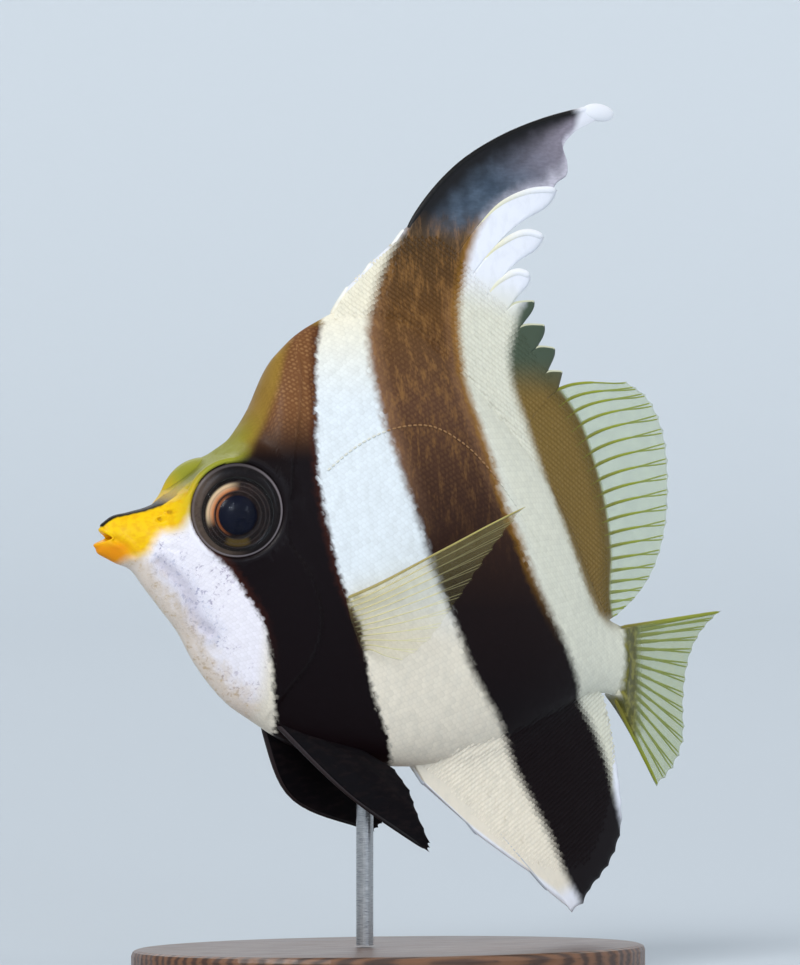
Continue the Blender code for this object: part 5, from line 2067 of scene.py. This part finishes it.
@dataclass
class Studio:
    """A pale floor, soft lights and the camera."""

    floor_size: float = 14.0
    wall: float = 3.0
    sweep: tuple = (2.5, 7.0)
    sensor: float = 24.0
    world_level: float = 0.62
    fish: tuple = (0.0, 0.0, 0.07)
    face: tuple = (-0.03, 0.0, 0.07)
    lamps: tuple = (
        ("key", (-0.85, -0.9, 0.85), 26, 1.7), ("fill", (0.9, -0.9, 0.5), 60, 0.55),
        ("back", (0.3, 1.1, 0.8), 45, 0.6))
    windows: tuple = (
        ((-0.16, -1.0, 0.3), (0.17, 0.2), 1.3), ((0.32, -1.0, 0.22), (0.07, 0.24), 0.45))

    def camera(self) -> None:
        """Sets the camera at the photo's angle and framing."""
        back = np.array([math.sin(CAMERA_TURN), -math.cos(CAMERA_TURN), 0.0])
        right = np.array([math.cos(CAMERA_TURN), math.sin(CAMERA_TURN), 0.0])
        target = FRAME_CENTRE[0] * right + np.array([0, 0, FRAME_CENTRE[1]])
        data = bpy.data.cameras.new("camera")
        data.sensor_fit = "VERTICAL"
        data.sensor_height = self.sensor
        data.lens = self.sensor * CAMERA_DISTANCE / (IMAGE_HEIGHT * MM_PER_PIXEL)
        data.clip_start, data.clip_end = 0.05, 50.0
        made = bpy.data.objects.new("camera", data)
        made.location = Vector((target + back * CAMERA_DISTANCE) * MM)
        made.rotation_euler = (math.pi / 2, 0, CAMERA_TURN)
        bpy.context.scene.collection.objects.link(made)
        bpy.context.scene.camera = made

    def floor(self) -> None:
        """Lays a floor under the stand that curves up far behind it."""
        bpy.ops.object.select_all(action="DESELECT")
        bpy.ops.mesh.primitive_grid_add(x_subdivisions=96, y_subdivisions=96, size=self.floor_size,
                                        location=(0, 0, -0.0002))
        made = bpy.context.object
        made.name = "studio_floor"
        bpy.ops.object.transform_apply(location=True)
        places = corners_of(made)
        places[:, 2] += self.wall * rise(np.hypot(places[:, 0], places[:, 1]), *self.sweep) ** 2
        made.data.vertices.foreach_set("co", places.ravel())
        made.data.shade_smooth()
        make = Shader("floor_paper")
        fibre = make.noise(0.8, 3.0, stretch=(0.2, 0.2, 0.2))
        made.data.materials.append(make.finish(
            Base_Color=make.mix(fibre * 0.1, tone(206, 214, 221), tone(196, 204, 212)),
            Roughness=0.9, Specular_IOR_Level=0.1))

    def lamp(self, name: str, place: Triple, spread_angle: float, power: float) -> None:
        """Adds a broad, even light that shines on the fish and on the whole floor alike.

        Args:
            name: Its name.
            place: Where it shines from.
            spread_angle: How broad it is seen from the fish, in degrees.
            power: Its strength.
        """
        data = bpy.data.lights.new(name, "SUN")
        data.angle, data.energy = math.radians(spread_angle), power
        self.hang(data, place, self.fish)

    def hang(self, data: bpy.types.Light, place: Triple, target: Triple) -> None:
        """Hangs a light at a place and points it at a target."""
        made = bpy.data.objects.new(data.name, data)
        made.location = place
        aim = Vector(target) - Vector(place)
        made.rotation_euler = aim.to_track_quat("-Z", "Y").to_euler()
        bpy.context.scene.collection.objects.link(made)

    def window(self, place: Triple, size: tuple[float, float], power: float) -> None:
        """Adds a small pale window near the camera, for a glint in the eye."""
        data = bpy.data.lights.new("window", "AREA")
        data.shape, data.size, data.size_y, data.energy = "RECTANGLE", *size, power
        data.color = tone(226, 238, 255)
        self.hang(data, place, self.face)

    def build(self) -> None:
        """Builds the studio."""
        self.camera()
        self.floor()
        for lamp in self.lamps:
            self.lamp(*lamp)
        for window in self.windows:
            self.window(*window)
        world = bpy.data.worlds.new("studio")
        world.use_nodes = True
        shade = world.node_tree.nodes["Background"]
        shade.inputs["Color"].default_value = (*tone(228, 233, 238), 1.0)
        shade.inputs["Strength"].default_value = self.world_level
        bpy.context.scene.world = world
        bpy.context.scene.view_settings.view_transform = "Standard"


def dress_stand() -> None:
    """Gives the stand's own nodes their wood and steel."""
    for node, finish in (("stand_base", WoodFinish()), ("stand_rod", SteelFinish())):
        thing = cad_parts[node]
        made = finish.build()
        for place in thing.material_slots:
            place.material = made
        LOG.info("%s: dressed with %s", node, made.name)


def make_finishes() -> Finishes:
    """All the fish's materials by name."""
    yellow_green, olive = tone(150, 158, 44), tone(112, 108, 40)
    white = tone(244, 244, 248)
    kinds = {
        "skin": FleshFinish("skin_markings_painted_shade"),
        "scales": FleshFinish("scale_markings_painted_shade", scaled=True),
        "fin_flesh": FleshFinish("fin_markings"),
        "soft_dorsal": ClearFinFinish("soft_dorsal_skin", tone(186, 202, 142), 0.26),
        "tail": ClearFinFinish("tail_skin", tone(168, 180, 108), 0.36, bar=True, border_low=0.0,
                               border_high=3.2),
        "pectoral": ClearFinFinish("pectoral_clear", tone(226, 212, 146), 0.2,
                                   tone(190, 172, 104), 0.7, "fish_x", -60.0, -50.0),
        "pennant": PennantFinish(),
        "pelvic": PelvicFinish(),
        "eye": EyeFinish(),
        "cornea": CorneaFinish(),
        "pore": PoreFinish(),
        "pale_spine": RayFinish("spine_cream", tone(238, 230, 206), tone(246, 244, 236)),
        "white_spine": RayFinish("spine_white", tone(232, 226, 190), white, 0.6, 0.95),
        "rear_spine": RayFinish("spine_bone", tone(150, 132, 88), tone(206, 206, 176)),
        "pennant_spine": RayFinish("pennant_spine_black", tone(8, 6, 7), tone(242, 242, 248),
                                   0.85, 0.9),
        "tip": RayFinish("pennant_tip_white", white, white),
        "grey_spine": RayFinish("spine_grey", tone(222, 214, 200), tone(190, 196, 206)),
        "yellow_ray": RayFinish("ray_yellow_green", olive, yellow_green, 0.35, 0.7),
        "tail_ray": RayFinish("tail_ray_yellow", tone(124, 116, 46), tone(140, 146, 44), 0.1, 0.6),
        "pectoral_ray": RayFinish("pectoral_ray_pale", tone(222, 212, 166), tone(228, 222, 178),
                                  banded=True),
        "pectoral_edge": RayFinish("pectoral_edge_olive", tone(168, 154, 96), tone(178, 166, 100)),
        "pelvic_spine": RayFinish("pelvic_spine_dark", tone(42, 32, 33), tone(14, 10, 12)),
    }
    return {name: kind.build() for name, kind in kinds.items()}


def main() -> None:
    """Builds the dressed fish, its stand and the studio."""
    logging.basicConfig(level=logging.INFO, format="%(name)s %(message)s")
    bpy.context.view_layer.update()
    Studio().build()
    finishes = make_finishes()
    skin = Skin().build(finishes["skin"])
    for side in Side:
        Eye(side).build(finishes)
        Coat(side).build(finishes["scales"])
        LateralLine().build(side, skin, finishes["pore"])
    fins = DorsalFin().build(finishes) + LowerFins().build(finishes)
    FinScales().build(fins, skin, finishes["scales"])
    PairedFins().build(finishes)
    dress_stand()


if __name__ == "__main__":
    main()
